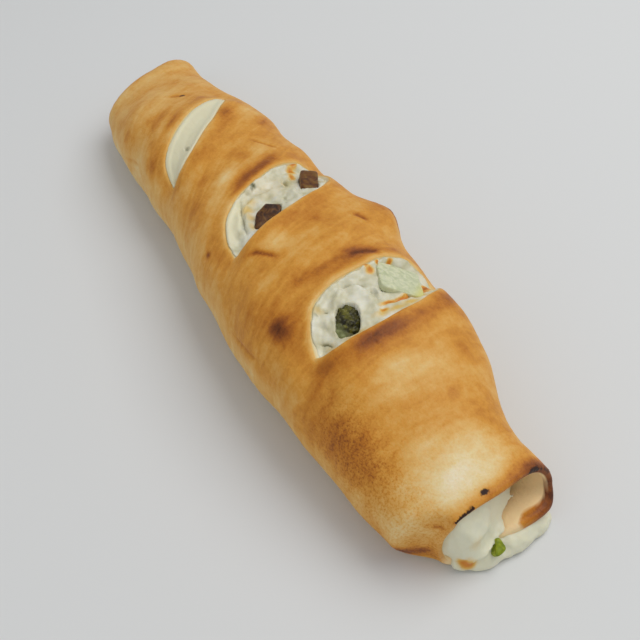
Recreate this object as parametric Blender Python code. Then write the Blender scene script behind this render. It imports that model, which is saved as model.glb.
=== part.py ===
"""A baked stromboli: a hollow dough roll, sealed at one end, open at the other and slashed three times,
with melted cheese running through it and pieces of vegetable showing in the slashes.

X runs along the roll from the sealed end to the open end, Z is up and the flat underside is on Z = 0.
The crust is worked out over two coordinates: the place along the roll, and the angle round it from the
crest, which is positive towards +Y."""

import math

import bmesh
import bpy
import numpy as np
from mathutils import Euler, Vector

# The roll, in metres: place along X, sideways place of the centre line, half width, height.
STATIONS = (
    (-0.1397, 0.0028, 0.0254, 0.0262),
    (-0.1267, -0.0001, 0.0282, 0.0296),
    (-0.1047, -0.0013, 0.0318, 0.0362),
    (-0.0797, 0.0010, 0.0340, 0.0417),
    (-0.0547, 0.0005, 0.0343, 0.0420),
    (-0.0297, 0.0008, 0.0359, 0.0438),
    (-0.0047, 0.0003, 0.0376, 0.0462),
    (0.0203, 0.0004, 0.0411, 0.0490),
    (0.0453, -0.0018, 0.0402, 0.0494),
    (0.0703, -0.0005, 0.0396, 0.0496),
    (0.0953, -0.0010, 0.0377, 0.0464),
    (0.1203, -0.0035, 0.0313, 0.0392),
    (0.1353, -0.0035, 0.0292, 0.0345),
    (0.1513, -0.0010, 0.0290, 0.0325),
)
SEALED_END = -0.1397  # where the sealed end begins to close
MOUTH = 0.1503  # the open end
WALL = 0.005  # dough thickness
GAP = 0.00035  # between the dough and the cheese, and round each piece in the cheese
MID_LEVEL = 0.45  # height of the widest point, as a share of the height
SIDE_POWER = 0.9  # squareness of the sides
CROWN_POWER = 0.95  # squareness of the crown
BASE_POWER = 0.7  # squareness of the lower corners
BASE_SPREAD = 1.12  # over 1 presses the underside flat on the floor

CAP_LENGTH = 0.0150  # the tucked part of the sealed end
CAP_POWER = 2.6  # over 2 squares its corners
TUCK_LEVEL = 0.22  # height of its closed edge, as a share of the height
# Lean of the crust's rows, in metres along X for each metre round it: place along X, lean.
LEANS = ((-0.1397, -0.56), (-0.0694, -0.82), (-0.0030, -0.61), (0.0725, -0.20), (0.1503, 0.0))
LEAN_FADE = 0.020  # how far from the open end the rows begin to lean
# Reach of the lip of the open end beyond MOUTH: angle in degrees, reach.
LIP = ((-180, 0.004), (-110, -0.001), (-35, 0.002), (0, 0.001), (50, -0.003), (85, -0.002), (125, 0.004))
LIP_FADE = 0.030  # how far back the lip's reach is felt
# How far the lip is curled up off the floor: angle in degrees, height.
CURL = ((-180, 0.0035), (-140, 0.0), (-60, 0.0), (70, 0.0), (110, 0.0030), (150, 0.0065))
CURL_FADE = 0.022
# How far one side of it is folded in across the opening: angle in degrees, distance.
FOLD = (
    (-180, 0.001),
    (-150, 0.003),
    (-110, 0.0095),
    (-85, 0.011),
    (-55, 0.008),
    (-30, 0.0015),
    (0, 0.0),
    (90, 0.0),
)
FOLD_FADE = 0.009
# Dough added to its wall: angle in degrees, thickness.
PINCH = (
    (-180, 0.0),
    (-125, -0.0020),
    (-85, -0.0028),
    (-45, -0.0025),
    (0, -0.0020),
    (90, -0.0015),
    (140, -0.0010),
)
PINCH_FADE = 0.020
LIP_ROUND = 0.0012  # bulge of the dough's cut edge

# Slashes: place along X, angle from the crest in degrees, direction in degrees from +X round the crust,
# half length, how far the edge nearer the sealed end bows out at each of BOW_PLACES, and the same for the
# other edge.
SLASHES = (
    (
        *(-0.0694, -10.1, 129.4, 0.0350),
        (0.0083, 0.0073, 0.0072, 0.0070, 0.0065),
        (0.0102, 0.0086, 0.0070, 0.0044, 0.0038),
    ),
    (
        *(-0.0030, 8.0, 121.3, 0.0403),
        (0.0147, 0.0147, 0.0150, 0.0130, 0.0121),
        (0.0074, 0.0085, 0.0109, 0.0118, 0.0150),
    ),
    (
        *(0.0725, 13.0, 101.7, 0.0370),
        (0.0138, 0.0164, 0.0173, 0.0169, 0.0163),
        (0.0081, 0.0080, 0.0090, 0.0074, 0.0056),
    ),
)
BOW_PLACES = (-0.8, -0.4, 0.0, 0.4, 0.8)  # along a slash, as shares of its half length
BOW_POWER = 3.8  # over 2 makes the ends of a slash blunt
CUT_SLOPE = 0.0014  # the cut face leans into the opening by this
TIP_DRAW = 2.5  # a smaller slash draws its tips in by this much more than its edges
EDGE_ROOM = 3.0  # the cheese keeps this many gaps clear of a slash's edge
INNER_ROOM = 1.6  # and this many clear of the inside of the dough
LIP_RISE = 0.0014  # the dough swells beside the edge nearer the open end
LIP_WIDTH = 0.008
TIP_SINK = 0.0022  # and sinks where a slash ends
TIP_WIDTH = 0.010

# Swellings and hollows: place along X, angle in degrees, size along X, size round the crust, height.
PUFFS = (
    (0.0213, 60, 0.012, 0.014, 0.0030),
    (0.0373, 30, 0.016, 0.020, 0.0010),
    (-0.0387, 30, 0.014, 0.020, 0.0012),
    (0.0993, 10, 0.018, 0.030, 0.0008),
    (0.0293, -70, 0.020, 0.016, -0.0008),
)
WAVE = 0.0005  # unevenness of the crust
LONG_WAVE = 95  # radians of it for each metre along the roll
SHORT_WAVE = 210
SHORT_SHARE = 0.6  # the short wave's height, as a share of the long one's
LEVEL_FROM = -0.75  # cosine of the angle from which the underside has no relief
LEVEL_FADE = 0.6

# Mesh steps.
FINE_STEP = 0.0040  # rows beside the slashes
COARSE_STEP = 0.0072  # rows elsewhere
FINE_REACH = 0.020
COLUMNS = 32
COLUMN_CROWDING = 0.16  # narrower columns on the crown than underneath
CAP_ROWS = 4
CONTOUR_POINTS = 64

# The cheese: how far below the crust it lies in each slash, and its unevenness.
CHEESE_DEPTH = 0.0042
SLASH_DEPTHS = (0.0022, 0.0036, 0.0036)
DEPTH_FADE = 0.004  # how far from a slash's edge its depth is felt
CHEESE_WAVE = 0.0009
CHEESE_TAIL = 0.004  # its blunt far end
# How far the cheese stands back from the lip of the open end, in degrees round it and metres.
CHEESE_FRONT = (
    (-180, -0.0005),
    (-60, 0.0010),
    (-20, 0.0030),
    (0, 0.0070),
    (35, 0.0140),
    (70, 0.0160),
    (115, 0.0150),
)
FRONT_BULGE = 0.0115
FRONT_DROP = 0.6  # height of its foremost point, as a share of the front's mean height
FRONT_SHIFT = -0.008  # how far to one side it is, along Y
FRONT_RINGS = (0.4, 0.75)  # its rings, as shares of the way to the dough
# Cheese run out on the floor: centre, half sizes.
SPILL_CENTRE = (0.1535, 0.0048, 0.0022)
SPILL_SIZE = (0.0070, 0.0208, 0.0060)
SPILL_NECK_CENTRE = (0.1483, -0.0050, 0.0070)
SPILL_NECK_SIZE = (0.0085, 0.0110, 0.0060)
DROP_CENTRE = (0.1548, -0.0110, 0.0042)
DROP_SIZE = (0.0032, 0.0030, 0.0028)

# Pieces in the cheese: centre, size, turn in degrees, unevenness, colour.
PIECES = {
    "brown_piece_a": ((0.0062, -0.0064, 0.0415), (0.0125, 0.0098, 0.0070), (0, 12, -30), 0.08, "5a3212"),
    "brown_piece_b": ((-0.0067, 0.0181, 0.0412), (0.0116, 0.0074, 0.0056), (-10, -4, -27), 0.05, "64380f"),
    "dark_green_piece": ((0.0730, -0.0084, 0.0430), (0.0142, 0.0094, 0.0074), (0, 12, -30), 0.12, "4d4a1c"),
    "pale_green_piece": ((0.0638, 0.0184, 0.0426), (0.0130, 0.0158, 0.0030), (-26, -10, -18), 0.05, "bccb9a"),
    "green_chip": ((0.159, 0.0005, 0.0068), (0.0050, 0.0055, 0.0035), (0, 30, 15), 0.10, "8c9a2c"),
}
PIECE_CUTS = 2  # subdivisions of a piece's box
PIECE_BALL = 1.25  # radius of the ball that its corners are drawn towards
PIECE_SOFTNESS = 0.45  # how far they are drawn
DOUGH_ROUGHNESS = 0.55
CHEESE_ROUGHNESS = 0.35
PIECE_ROUGHNESS = 0.5


def ease(value):
    """0 below 0, 1 above 1, with a smooth turn between them."""
    value = np.clip(value, 0.0, 1.0)
    return value * value * (3.0 - 2.0 * value)


def smooth_curve(place, knots, values):
    """A smooth curve through the values, level beyond the first and the last."""
    knots = np.asarray(knots, float)
    values = np.asarray(values, float)
    slopes = np.gradient(values, knots)
    at = np.clip(np.searchsorted(knots, place) - 1, 0, len(knots) - 2)
    span = knots[at + 1] - knots[at]
    t = np.clip((place - knots[at]) / span, 0.0, 1.0)
    first = (1 + 2 * t) * (1 - t) ** 2 * values[at] + t * (1 - t) ** 2 * span * slopes[at]
    second = t * t * (3 - 2 * t) * values[at + 1] - t * t * (1 - t) * span * slopes[at + 1]
    return first + second


def smooth_ring(angle, table):
    """A smooth closed curve through (degrees, value) pairs."""
    degrees = np.array([row[0] for row in table], float)
    values = np.array([row[1] for row in table], float)
    degrees = np.concatenate([degrees - 360, degrees, degrees + 360])
    turned = (np.degrees(angle) + 180) % 360 - 180
    return smooth_curve(turned, degrees, np.tile(values, 3))


def station(place, column):
    return smooth_curve(place, [row[0] for row in STATIONS], [row[column] for row in STATIONS])


def lean(place):
    return smooth_curve(place, [row[0] for row in LEANS], [row[1] for row in LEANS])


def slash_radius(slash):
    """Turns an angle round the crust into a length beside this slash."""
    return float(station(np.array(slash[0]), 2))


def slash_contour(slash, grow=0.0):
    """The slash's edge as points (place along the roll, length round it), opened by grow on every side."""
    place, turn, direction, half_length, far_bows, near_bows = slash
    around = np.linspace(0, 2 * math.pi, CONTOUR_POINTS, endpoint=False)
    along = np.cos(around)
    far_bow = smooth_curve(along, BOW_PLACES, far_bows) + grow
    near_bow = smooth_curve(along, BOW_PLACES, near_bows) + grow
    bow = np.where(np.sin(around) < 0, -far_bow, near_bow)
    across = bow * (1 - np.abs(along) ** BOW_POWER)
    along = along * (half_length + TIP_DRAW * grow)
    heading = math.radians(direction)
    centre = slash_radius(slash) * math.radians(turn)
    return np.stack(
        [
            place + along * math.cos(heading) + across * math.sin(heading),
            centre + along * math.sin(heading) - across * math.cos(heading),
        ],
        axis=-1,
    )


def nearest_on_contour(points, contour):
    """The nearest point of a closed contour, and the distance to it: negative inside the contour."""
    start = contour
    edge = np.roll(contour, -1, axis=0) - start
    offset = points[:, None, :] - start[None, :, :]
    t = np.clip((offset * edge).sum(-1) / (edge * edge).sum(-1), 0.0, 1.0)
    foot = start + t[..., None] * edge
    distance = np.linalg.norm(points[:, None, :] - foot, axis=-1)
    best = distance.argmin(axis=1)
    pick = np.arange(len(points))
    end = start + edge
    y = points[:, 1:]
    crosses = (start[:, 1] > y) != (end[:, 1] > y)
    rise = np.where(edge[:, 1] == 0, 1.0, edge[:, 1])
    left = points[:, :1] < start[:, 0] + (y - start[:, 1]) * edge[:, 0] / rise
    inside = (crosses & left).sum(axis=1) % 2 == 1
    return foot[pick, best], np.where(inside, -1.0, 1.0) * distance[pick, best]


def unrolled(slash, place, angle):
    return np.stack([place.ravel(), angle.ravel() * slash_radius(slash)], axis=-1)


def slash_gap(slash, place, angle, grow=0.0):
    """Distance on the crust from a slash's edge, negative inside the slash."""
    _, distance = nearest_on_contour(unrolled(slash, place, angle), slash_contour(slash, grow))
    return distance.reshape(place.shape)


def min_gap(place, angle):
    """Distance on the crust from the nearest slash."""
    return np.min([slash_gap(slash, place, angle) for slash in SLASHES], axis=0)


def relief(place, angle):
    """How far the crust stands out from its plain section."""
    lift = WAVE * np.sin(place * LONG_WAVE + 2 * np.sin(angle * 2 + 1)) * np.cos(angle * 1.5 - 0.6)
    lift = lift + WAVE * SHORT_SHARE * np.sin(place * SHORT_WAVE + angle * 3)
    for at, degrees, long, wide, height in PUFFS:
        around = (angle - math.radians(degrees)) * station(place, 2)
        lift = lift + height * np.exp(-(((place - at) / long) ** 2) - (around / wide) ** 2)
    for slash in SLASHES:
        distance = np.maximum(slash_gap(slash, place, angle), 0.0)
        heading = math.radians(slash[2])
        radius = slash_radius(slash)
        across = (place - slash[0]) * math.sin(heading)
        across = across - (angle - math.radians(slash[1])) * radius * math.cos(heading)
        near_side = ease(across / LIP_WIDTH)
        lift = lift + LIP_RISE * near_side * np.exp(-((distance / LIP_WIDTH) ** 2))
        for end in (-1, 1):
            tip_place = slash[0] + end * slash[3] * math.cos(heading)
            tip_around = radius * math.radians(slash[1]) + end * slash[3] * math.sin(heading)
            apart = (place - tip_place) ** 2 + (angle * radius - tip_around) ** 2
            lift = lift - TIP_SINK * np.exp(-apart / TIP_WIDTH**2)
    return lift * ease((np.cos(angle) - LEVEL_FROM) / LEVEL_FADE)


def crust_point(place, cap, angle, depth, lip_grow=0.0):
    """A point this deep under the crust. cap turns from 0 to 90 degrees round the sealed end."""
    pinch = smooth_ring(angle, PINCH) * ease((place - MOUTH + PINCH_FADE) / PINCH_FADE)
    depth = depth + np.where(depth > 0, pinch, 0.0)
    centre = station(place, 1)
    half = station(place, 2) - depth
    height = station(place, 3)
    middle = MID_LEVEL * height
    lift = relief(place, angle)
    side, up = np.sin(angle), np.cos(angle)
    y = half * np.sign(side) * np.abs(side) ** SIDE_POWER
    crown = middle + (height - depth - middle) * np.abs(up) ** CROWN_POWER
    pressed = np.minimum(BASE_SPREAD * np.abs(up) ** BASE_POWER, 1.0)
    z = np.where(up > 0, crown, middle - (middle - depth) * pressed)
    fold = smooth_ring(angle, FOLD) * ease((place - MOUTH + FOLD_FADE) / FOLD_FADE)
    y = y + lift * side + fold
    z = np.maximum(z + lift * up, depth)
    shrink = closing(cap)
    y = y * shrink
    z = middle + (z - middle) * shrink + (TUCK_LEVEL * height - middle) * (1 - shrink)
    z = z + smooth_ring(angle, CURL) * ease((place - MOUTH + CURL_FADE) / CURL_FADE)
    x = place - (CAP_LENGTH - depth) * np.sin(cap) ** (2 / CAP_POWER)
    reach = smooth_ring(angle, LIP) + lip_grow
    x = x + reach * ease((place - MOUTH + LIP_FADE) / LIP_FADE)
    return np.stack([x, centre + y, z], axis=-1)


def row_places():
    places = [MOUTH]
    while places[-1] > SEALED_END + 0.5 * FINE_STEP:
        beside = any(abs(places[-1] - slash[0]) < FINE_REACH for slash in SLASHES)
        fine = beside or MOUTH - places[-1] < FOLD_FADE
        places.append(places[-1] - (FINE_STEP if fine else COARSE_STEP))
    places[-1] = SEALED_END
    return np.array(places)


def column_angles():
    turn = np.linspace(-1, 1, COLUMNS, endpoint=False)
    return math.pi * turn * (1 - COLUMN_CROWDING + COLUMN_CROWDING * turn * turn)


def closing(cap):
    """The share of the section's size that is left in the tucked part, whose turn is 0 to 90 degrees."""
    return np.cos(cap) ** (2 / CAP_POWER)


def leaned(place, angle, cap=0.0):
    """The place along the roll of a row that leans as the slashes do."""
    ahead = lean(place) * station(place, 2) * np.sin(angle) * closing(cap)
    return place + ahead * ease((MOUTH - place) / LEAN_FADE)


def crust_grid():
    """Place, cap turn and angle of every crossing of the crust's rows and columns."""
    places = row_places()
    cap = np.radians(np.linspace(0, 90, CAP_ROWS + 1)[1:-1])
    cap = np.concatenate([np.zeros(len(places)), cap])
    places = np.concatenate([places, np.full(CAP_ROWS - 1, SEALED_END)])
    place, angle = np.meshgrid(places, column_angles(), indexing="ij")
    cap = np.repeat(cap[:, None], COLUMNS, axis=1)
    return leaned(place, angle, cap), cap, angle


def edge_corners(place, angle):
    """The state of every grid corner: 1 outside the slashes, -1 inside one and 0 to be moved onto its edge,
    and the slash that is nearest to it."""
    gaps = np.stack([slash_gap(slash, place, angle) for slash in SLASHES])
    nearest = gaps.argmin(axis=0)
    gap = gaps.min(axis=0)
    moved = np.zeros(place.shape, bool)
    for axis in (0, 1):
        ahead = np.roll(gap, -1, axis=axis)
        crossing = gap * ahead < 0
        if axis == 0:
            crossing[-1] = False
        moved |= crossing & (np.abs(gap) <= np.abs(ahead))
        moved |= np.roll(crossing & (np.abs(gap) > np.abs(ahead)), 1, axis=axis)
    state = np.where(gap < 0, -1, 1)
    state[moved] = 0
    return state, nearest


def snapped(place, angle, state, nearest, lean_in):
    """The grid with its moved corners on the slash's edge, lean_in inside it."""
    place, angle = place.copy(), angle.copy()
    for index, slash in enumerate(SLASHES):
        mine = (state == 0) & (nearest == index)
        contour = slash_contour(slash, -lean_in)
        foot, _ = nearest_on_contour(unrolled(slash, place[mine], angle[mine]), contour)
        place[mine] = foot[:, 0]
        angle[mine] = foot[:, 1] / slash_radius(slash)
    return place, angle


def kept_faces(state, gap):
    """The faces of the grid that aren't cut away, as corner numbers. A face astride an edge is halved."""
    rows, columns = state.shape
    state = state.ravel()
    faces = []
    for row in range(rows - 1):
        for column in range(columns):
            beside = (column + 1) % columns
            corners = [row * columns + column, row * columns + beside]
            corners += [corners[1] + columns, corners[0] + columns]
            states = [state[corner] for corner in corners]
            if -1 not in states and (1 in states or gap[row, column] > 0):
                faces.append(corners)
            elif -1 in states and 1 in states:
                far = states.index(-1)
                faces.append([corner for at, corner in enumerate(corners) if at != far])
    return faces


def short_diagonals(faces, place, angle):
    """The faces, with the four corners of a whole one starting at an end of its shorter diagonal."""
    spread = np.stack([place, angle * station(place, 2)], axis=-1).reshape(-1, 2)
    turned = []
    for corners in faces:
        if len(corners) == 4:
            first, second = (spread[corners[at]] - spread[corners[at + 2]] for at in (0, 1))
            if np.linalg.norm(second) < np.linalg.norm(first):
                corners = corners[1:] + corners[:1]
        turned.append(corners)
    return turned


def make_material(name, hex_colour, roughness):
    material = bpy.data.materials.new(name)
    material.use_nodes = True
    shader = material.node_tree.nodes["Principled BSDF"]
    srgb = [int(hex_colour[at : at + 2], 16) / 255 for at in (0, 2, 4)]
    linear = [((value + 0.055) / 1.055) ** 2.4 for value in srgb]
    shader.inputs["Base Color"].default_value = (*linear, 1.0)
    shader.inputs["Roughness"].default_value = roughness
    shader.inputs["Metallic"].default_value = 0.0
    return material


def add_object(name, points, faces, material=None):
    triangles = []
    for corners in faces:
        triangles += [(corners[0], corners[at], corners[at + 1]) for at in range(1, len(corners) - 1)]
    mesh = bpy.data.meshes.new(name)
    mesh.from_pydata([tuple(point) for point in points], [], triangles)
    mesh.shade_smooth()
    if material:
        mesh.materials.append(material)
    made = bpy.data.objects.new(name, mesh)
    bpy.context.scene.collection.objects.link(made)
    return made


def set_as_helper(helper):
    helper.hide_render = True
    helper.display_type = "WIRE"
    return helper


def boolean(target, helper, operation):
    modifier = target.modifiers.new(helper.name, "BOOLEAN")
    modifier.operation = operation
    modifier.solver = "EXACT"
    modifier.object = set_as_helper(helper)


def make_crust(name, spare, material=None):
    """The dough: an outer and an inner skin joined round each slash and at the open end.
    spare thickens it on every side."""
    place, cap, angle = crust_grid()
    state, nearest = edge_corners(place, angle)
    middle = (place + np.roll(place, (-1, -1), axis=(0, 1))) / 2
    face_gap = min_gap(middle, angle + math.pi / COLUMNS)
    outer_place, outer_angle = snapped(place, angle, state, nearest, EDGE_ROOM * spare)
    inner_place, inner_angle = snapped(place, angle, state, nearest, CUT_SLOPE + EDGE_ROOM * spare)
    outer = crust_point(outer_place, cap, outer_angle, -spare, spare)
    inner = crust_point(inner_place, cap, inner_angle, WALL + INNER_ROOM * spare, spare)
    lip = (outer[0] + inner[0]) / 2
    lip[:, 0] += LIP_ROUND + spare
    last = np.full(1, SEALED_END)
    tip = np.full(1, math.pi / 2)
    outer_pole = crust_point(last, tip, np.zeros(1), -spare)
    inner_pole = crust_point(last, tip, np.zeros(1), WALL + INNER_ROOM * spare)
    columns = place.shape[1]
    skin = place.size
    points = np.concatenate([outer.reshape(-1, 3), inner.reshape(-1, 3), lip, outer_pole, inner_pole])
    faces = short_diagonals(kept_faces(state, face_gap), place, angle)
    rims = set()
    for corners in faces:
        for start, end in zip(corners, corners[1:] + corners[:1]):
            if (end, start) in rims:
                rims.remove((end, start))
            else:
                rims.add((start, end))
    faces += [[corner + skin for corner in reversed(corners)] for corners in faces]
    for start, end in sorted(rims):
        if end < columns:
            faces.append([end, start, 2 * skin + start, 2 * skin + end])
            faces.append([2 * skin + end, 2 * skin + start, start + skin, end + skin])
        elif end >= skin - columns:
            faces.append([end, start, len(points) - 2])
            faces.append([start + skin, end + skin, len(points) - 1])
        else:
            faces.append([end, start, start + skin, end + skin])
    return add_object(name, points, faces, material)


def cheese_depth(place, angle):
    bumps = np.sin(place * 520 + 2 * np.sin(angle * 5)) * np.sin(angle * 9 + place * 130)
    depth = np.full(place.shape, CHEESE_DEPTH)
    for slash, slash_depth in zip(SLASHES, SLASH_DEPTHS):
        within = ease(0.5 - slash_gap(slash, place, angle) / DEPTH_FADE)
        depth += (slash_depth - CHEESE_DEPTH + CHEESE_WAVE * bumps) * within
    return depth


def make_cheese(name, material):
    """The cheese: a core that fills the roll, with its front in the open end."""
    place, angle = np.meshgrid(row_places(), column_angles(), indexing="ij")
    place = leaned(place, angle)
    skin = crust_point(place, np.zeros(place.shape), angle, cheese_depth(place, angle))
    skin[..., 0] -= smooth_ring(angle, CHEESE_FRONT) * ease((place - MOUTH + LIP_FADE) / LIP_FADE)
    ring = skin[0]
    centre = ring.mean(axis=0) * np.array([1.0, 1.0, FRONT_DROP])
    centre[1] += FRONT_SHIFT
    front = []
    for share in FRONT_RINGS:
        row = centre + (ring - centre) * share
        row[:, 0] += FRONT_BULGE * (1 - share**2)
        front.append(row)
    nose = centre + np.array([FRONT_BULGE, 0, 0])
    grid = np.concatenate([np.stack(front), skin])
    tail = grid[-1].mean(axis=0) - np.array([CHEESE_TAIL, 0, 0])
    rows, columns = grid.shape[:2]
    points = np.concatenate([grid.reshape(-1, 3), [nose, tail]])
    faces = []
    for row in range(rows - 1):
        for column in range(columns):
            start, beside = row * columns + column, row * columns + (column + 1) % columns
            faces.append([start, beside, beside + columns, start + columns])
    for column in range(columns):
        beside = (column + 1) % columns
        faces.append([beside, column, rows * columns])
        last = (rows - 1) * columns
        faces.append([last + column, last + beside, rows * columns + 1])
    return add_object(name, points, faces, material)


def make_blob(name, centre, size):
    """A rounded lump of cheese, flat where it meets the floor."""
    shape = bmesh.new()
    bmesh.ops.create_uvsphere(shape, u_segments=20, v_segments=10, radius=1.0)
    for vertex in shape.verts:
        vertex.co = Vector(centre) + Vector(size) * vertex.co
        vertex.co.z = max(vertex.co.z, 0.0)
    mesh = bpy.data.meshes.new(name)
    shape.to_mesh(mesh)
    shape.free()
    made = bpy.data.objects.new(name, mesh)
    bpy.context.scene.collection.objects.link(made)
    return made


def make_piece(kind, name, spare, material=None):
    """A cut, baked piece of vegetable: a box with softened, uneven faces. spare thickens it."""
    centre, size, turn, uneven, _ = PIECES[kind]
    shape = bmesh.new()
    bmesh.ops.create_cube(shape, size=2.0)
    bmesh.ops.subdivide_edges(shape, edges=shape.edges[:], cuts=PIECE_CUTS, use_grid_fill=True)
    half = Vector([length / 2 + spare for length in size])
    rotation = Euler([math.radians(degrees) for degrees in turn]).to_matrix()
    for vertex in shape.verts:
        corner = vertex.co.lerp(vertex.co.normalized() * PIECE_BALL, PIECE_SOFTNESS)
        wave = math.sin(corner.x * 3.1 + corner.y * 2.3 + len(kind))
        wave += math.sin(corner.z * 2.7 - corner.x * 1.9)
        corner *= 1.0 + 0.5 * uneven * wave
        vertex.co = Vector(centre) + rotation @ (half * corner)
    bmesh.ops.triangulate(shape, faces=shape.faces[:])
    mesh = bpy.data.meshes.new(name)
    shape.to_mesh(mesh)
    shape.free()
    mesh.shade_smooth()
    if material:
        mesh.materials.append(material)
    made = bpy.data.objects.new(name, mesh)
    bpy.context.scene.collection.objects.link(made)
    return made


def main():
    for old in list(bpy.data.objects):
        bpy.data.objects.remove(old, do_unlink=True)

    make_crust("crust", 0.0, make_material("baked_dough", "d29c55", DOUGH_ROUGHNESS))

    cheese = make_cheese("cheese", make_material("melted_cheese", "dcd8c4", CHEESE_ROUGHNESS))
    boolean(cheese, make_blob("spill_neck", SPILL_NECK_CENTRE, SPILL_NECK_SIZE), "UNION")
    boolean(cheese, make_blob("spill", SPILL_CENTRE, SPILL_SIZE), "UNION")
    boolean(cheese, make_blob("spill_drop", DROP_CENTRE, DROP_SIZE), "UNION")
    boolean(cheese, make_crust("dough_room", GAP), "DIFFERENCE")

    for name, piece in PIECES.items():
        make_piece(name, name, 0.0, make_material(name + "_skin", piece[4], PIECE_ROUGHNESS))
        boolean(cheese, make_piece(name, name + "_room", GAP), "DIFFERENCE")


main()
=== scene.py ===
import math

import bmesh
import bpy
import numpy as np
from mathutils import Euler, Matrix, Vector, noise


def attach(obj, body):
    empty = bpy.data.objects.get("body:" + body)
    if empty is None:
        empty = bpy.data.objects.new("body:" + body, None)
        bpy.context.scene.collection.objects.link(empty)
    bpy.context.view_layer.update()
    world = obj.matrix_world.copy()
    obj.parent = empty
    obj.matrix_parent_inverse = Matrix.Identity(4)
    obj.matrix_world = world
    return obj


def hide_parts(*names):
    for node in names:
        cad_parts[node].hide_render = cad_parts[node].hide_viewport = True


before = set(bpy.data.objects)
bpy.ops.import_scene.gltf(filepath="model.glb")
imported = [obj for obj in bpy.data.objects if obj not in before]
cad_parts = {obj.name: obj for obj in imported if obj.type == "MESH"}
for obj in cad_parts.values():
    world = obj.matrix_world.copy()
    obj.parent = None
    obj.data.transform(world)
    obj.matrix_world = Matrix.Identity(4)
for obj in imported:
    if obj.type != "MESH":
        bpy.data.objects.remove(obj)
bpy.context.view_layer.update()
print("frame loaded:", len(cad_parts), "solids")

# Lengths are in metres. A place on the crust has two numbers: how far along the roll, and the angle round it
# from the crest, positive towards +Y.
roll = {
    "stations": (  # place, centre line, half width, height
        (-0.1397, 0.0028, 0.0254, 0.0262),
        (-0.1267, -0.0001, 0.0282, 0.0296),
        (-0.1047, -0.0013, 0.0318, 0.0362),
        (-0.0797, 0.001, 0.034, 0.0417),
        (-0.0547, 0.0005, 0.0343, 0.042),
        (-0.0297, 0.0008, 0.0359, 0.0438),
        (-0.0047, 0.0003, 0.0376, 0.0462),
        (0.0203, 0.0004, 0.0411, 0.049),
        (0.0453, -0.0018, 0.0402, 0.0494),
        (0.0703, -0.0005, 0.0396, 0.0496),
        (0.0953, -0.001, 0.0377, 0.0464),
        (0.1203, -0.0035, 0.0313, 0.0392),
        (0.1353, -0.0035, 0.0292, 0.0345),
        (0.1513, -0.001, 0.029, 0.0325),
    ),
    "sealedEnd": -0.1397,
    "mouth": 0.1503,
    "wall": 0.005,
    "middle": 0.45,  # height of the widest point, as a share
    "sidePower": 0.9,
    "crownPower": 0.95,
    "basePower": 0.7,
    "baseSpread": 1.12,  # over 1 presses the underside flat
    "capLength": 0.015,
    "capPower": 2.6,
    "tuckLevel": 0.22,
    "leans": ((-0.1397, -0.56), (-0.0694, -0.82), (-0.003, -0.61), (0.0725, -0.2), (0.1503, 0.0)),
    "leanFade": 0.02,
}

# The lip of the open end, as degrees round it and metres, with how far back each change is felt.
lip = {
    "reach": (
        (-180, 0.004), (-110, -0.001), (-35, 0.002), (0, 0.001), (50, -0.003), (85, -0.002),
        (125, 0.004),
    ),
    "reachFade": 0.03,
    "curl": ((-180, 0.0035), (-140, 0.0), (-60, 0.0), (70, 0.0), (110, 0.003), (150, 0.0065)),
    "curlFade": 0.022,
    "fold": (
        (-180, 0.001), (-150, 0.003), (-110, 0.0095), (-85, 0.011), (-55, 0.008), (-30, 0.0015),
        (0, 0.0), (90, 0.0),
    ),
    "foldFade": 0.009,
    "pinch": (
        (-180, 0.0), (-125, -0.002), (-85, -0.0028), (-45, -0.0025), (0, -0.002), (90, -0.0015),
        (140, -0.001),
    ),
    "pinchFade": 0.02,
    "round": 0.0012,
    "rings": 5,
}

# Place, angle, direction in degrees from +X, half length, how far the edge nearer the sealed end bows out at
# each of bowPlaces, the same for the other edge, how deep the cheese lies, how ragged the edge is.
slashes = (
    (
        *(-0.0694, -10.1, 129.4, 0.0365),
        (0.0083, 0.0073, 0.007, 0.0058, 0.0028),
        (0.0102, 0.0086, 0.0068, 0.0036, 0.002),
        *(0.001, 0.00006),
    ),
    (
        *(-0.0019, 5.1, 121.3, 0.0375),
        (0.0147, 0.0147, 0.015, 0.0132, 0.0108),
        (0.0074, 0.0085, 0.0109, 0.0114, 0.0106),
        *(0.0031, 0.00025),
    ),
    (
        *(0.0725, 13.0, 101.7, 0.037),
        (0.0138, 0.0164, 0.0173, 0.0169, 0.0163),
        (0.0081, 0.008, 0.009, 0.0074, 0.0056),
        *(0.0031, 0.00025),
    ),
)
slashShape = {
    "bowPlaces": (-0.8, -0.4, 0.0, 0.4, 0.8),
    "bowPower": 3.8,
    "tipDraw": 2.5,
    "points": 160,
    "reach": 0.085,  # how far along the roll it changes the crust
    "lipRise": 0.0014,
    "lipWidth": 0.008,
    "tipSink": 0.0022,
    "tipWidth": 0.01,
    # the cut edge rolls over and slopes in: how far outside the edge, how deep
    "rings": (
        (0.0011, 0.0), (0.0007, 0.00012), (0.00035, 0.0004), (0.0001, 0.0009), (0.0, 0.0015),
        (-0.00025, 0.0024), (-0.0008, 0.0037), (-0.0014, 0.005),
    ),
}


def ease(value):
    value = np.clip(value, 0.0, 1.0)
    return value * value * (3.0 - 2.0 * value)


def smoothCurve(place, knots, values):
    knots = np.asarray(knots, float)
    values = np.asarray(values, float)
    slopes = np.gradient(values, knots)
    at = np.clip(np.searchsorted(knots, place) - 1, 0, len(knots) - 2)
    span = knots[at + 1] - knots[at]
    t = np.clip((place - knots[at]) / span, 0.0, 1.0)
    first = (1 + 2 * t) * (1 - t) ** 2 * values[at] + t * (1 - t) ** 2 * span * slopes[at]
    second = t * t * (3 - 2 * t) * values[at + 1] - t * t * (1 - t) * span * slopes[at + 1]
    return first + second


def bell(offset, width):
    return np.exp(-((offset / width) ** 2))


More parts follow.
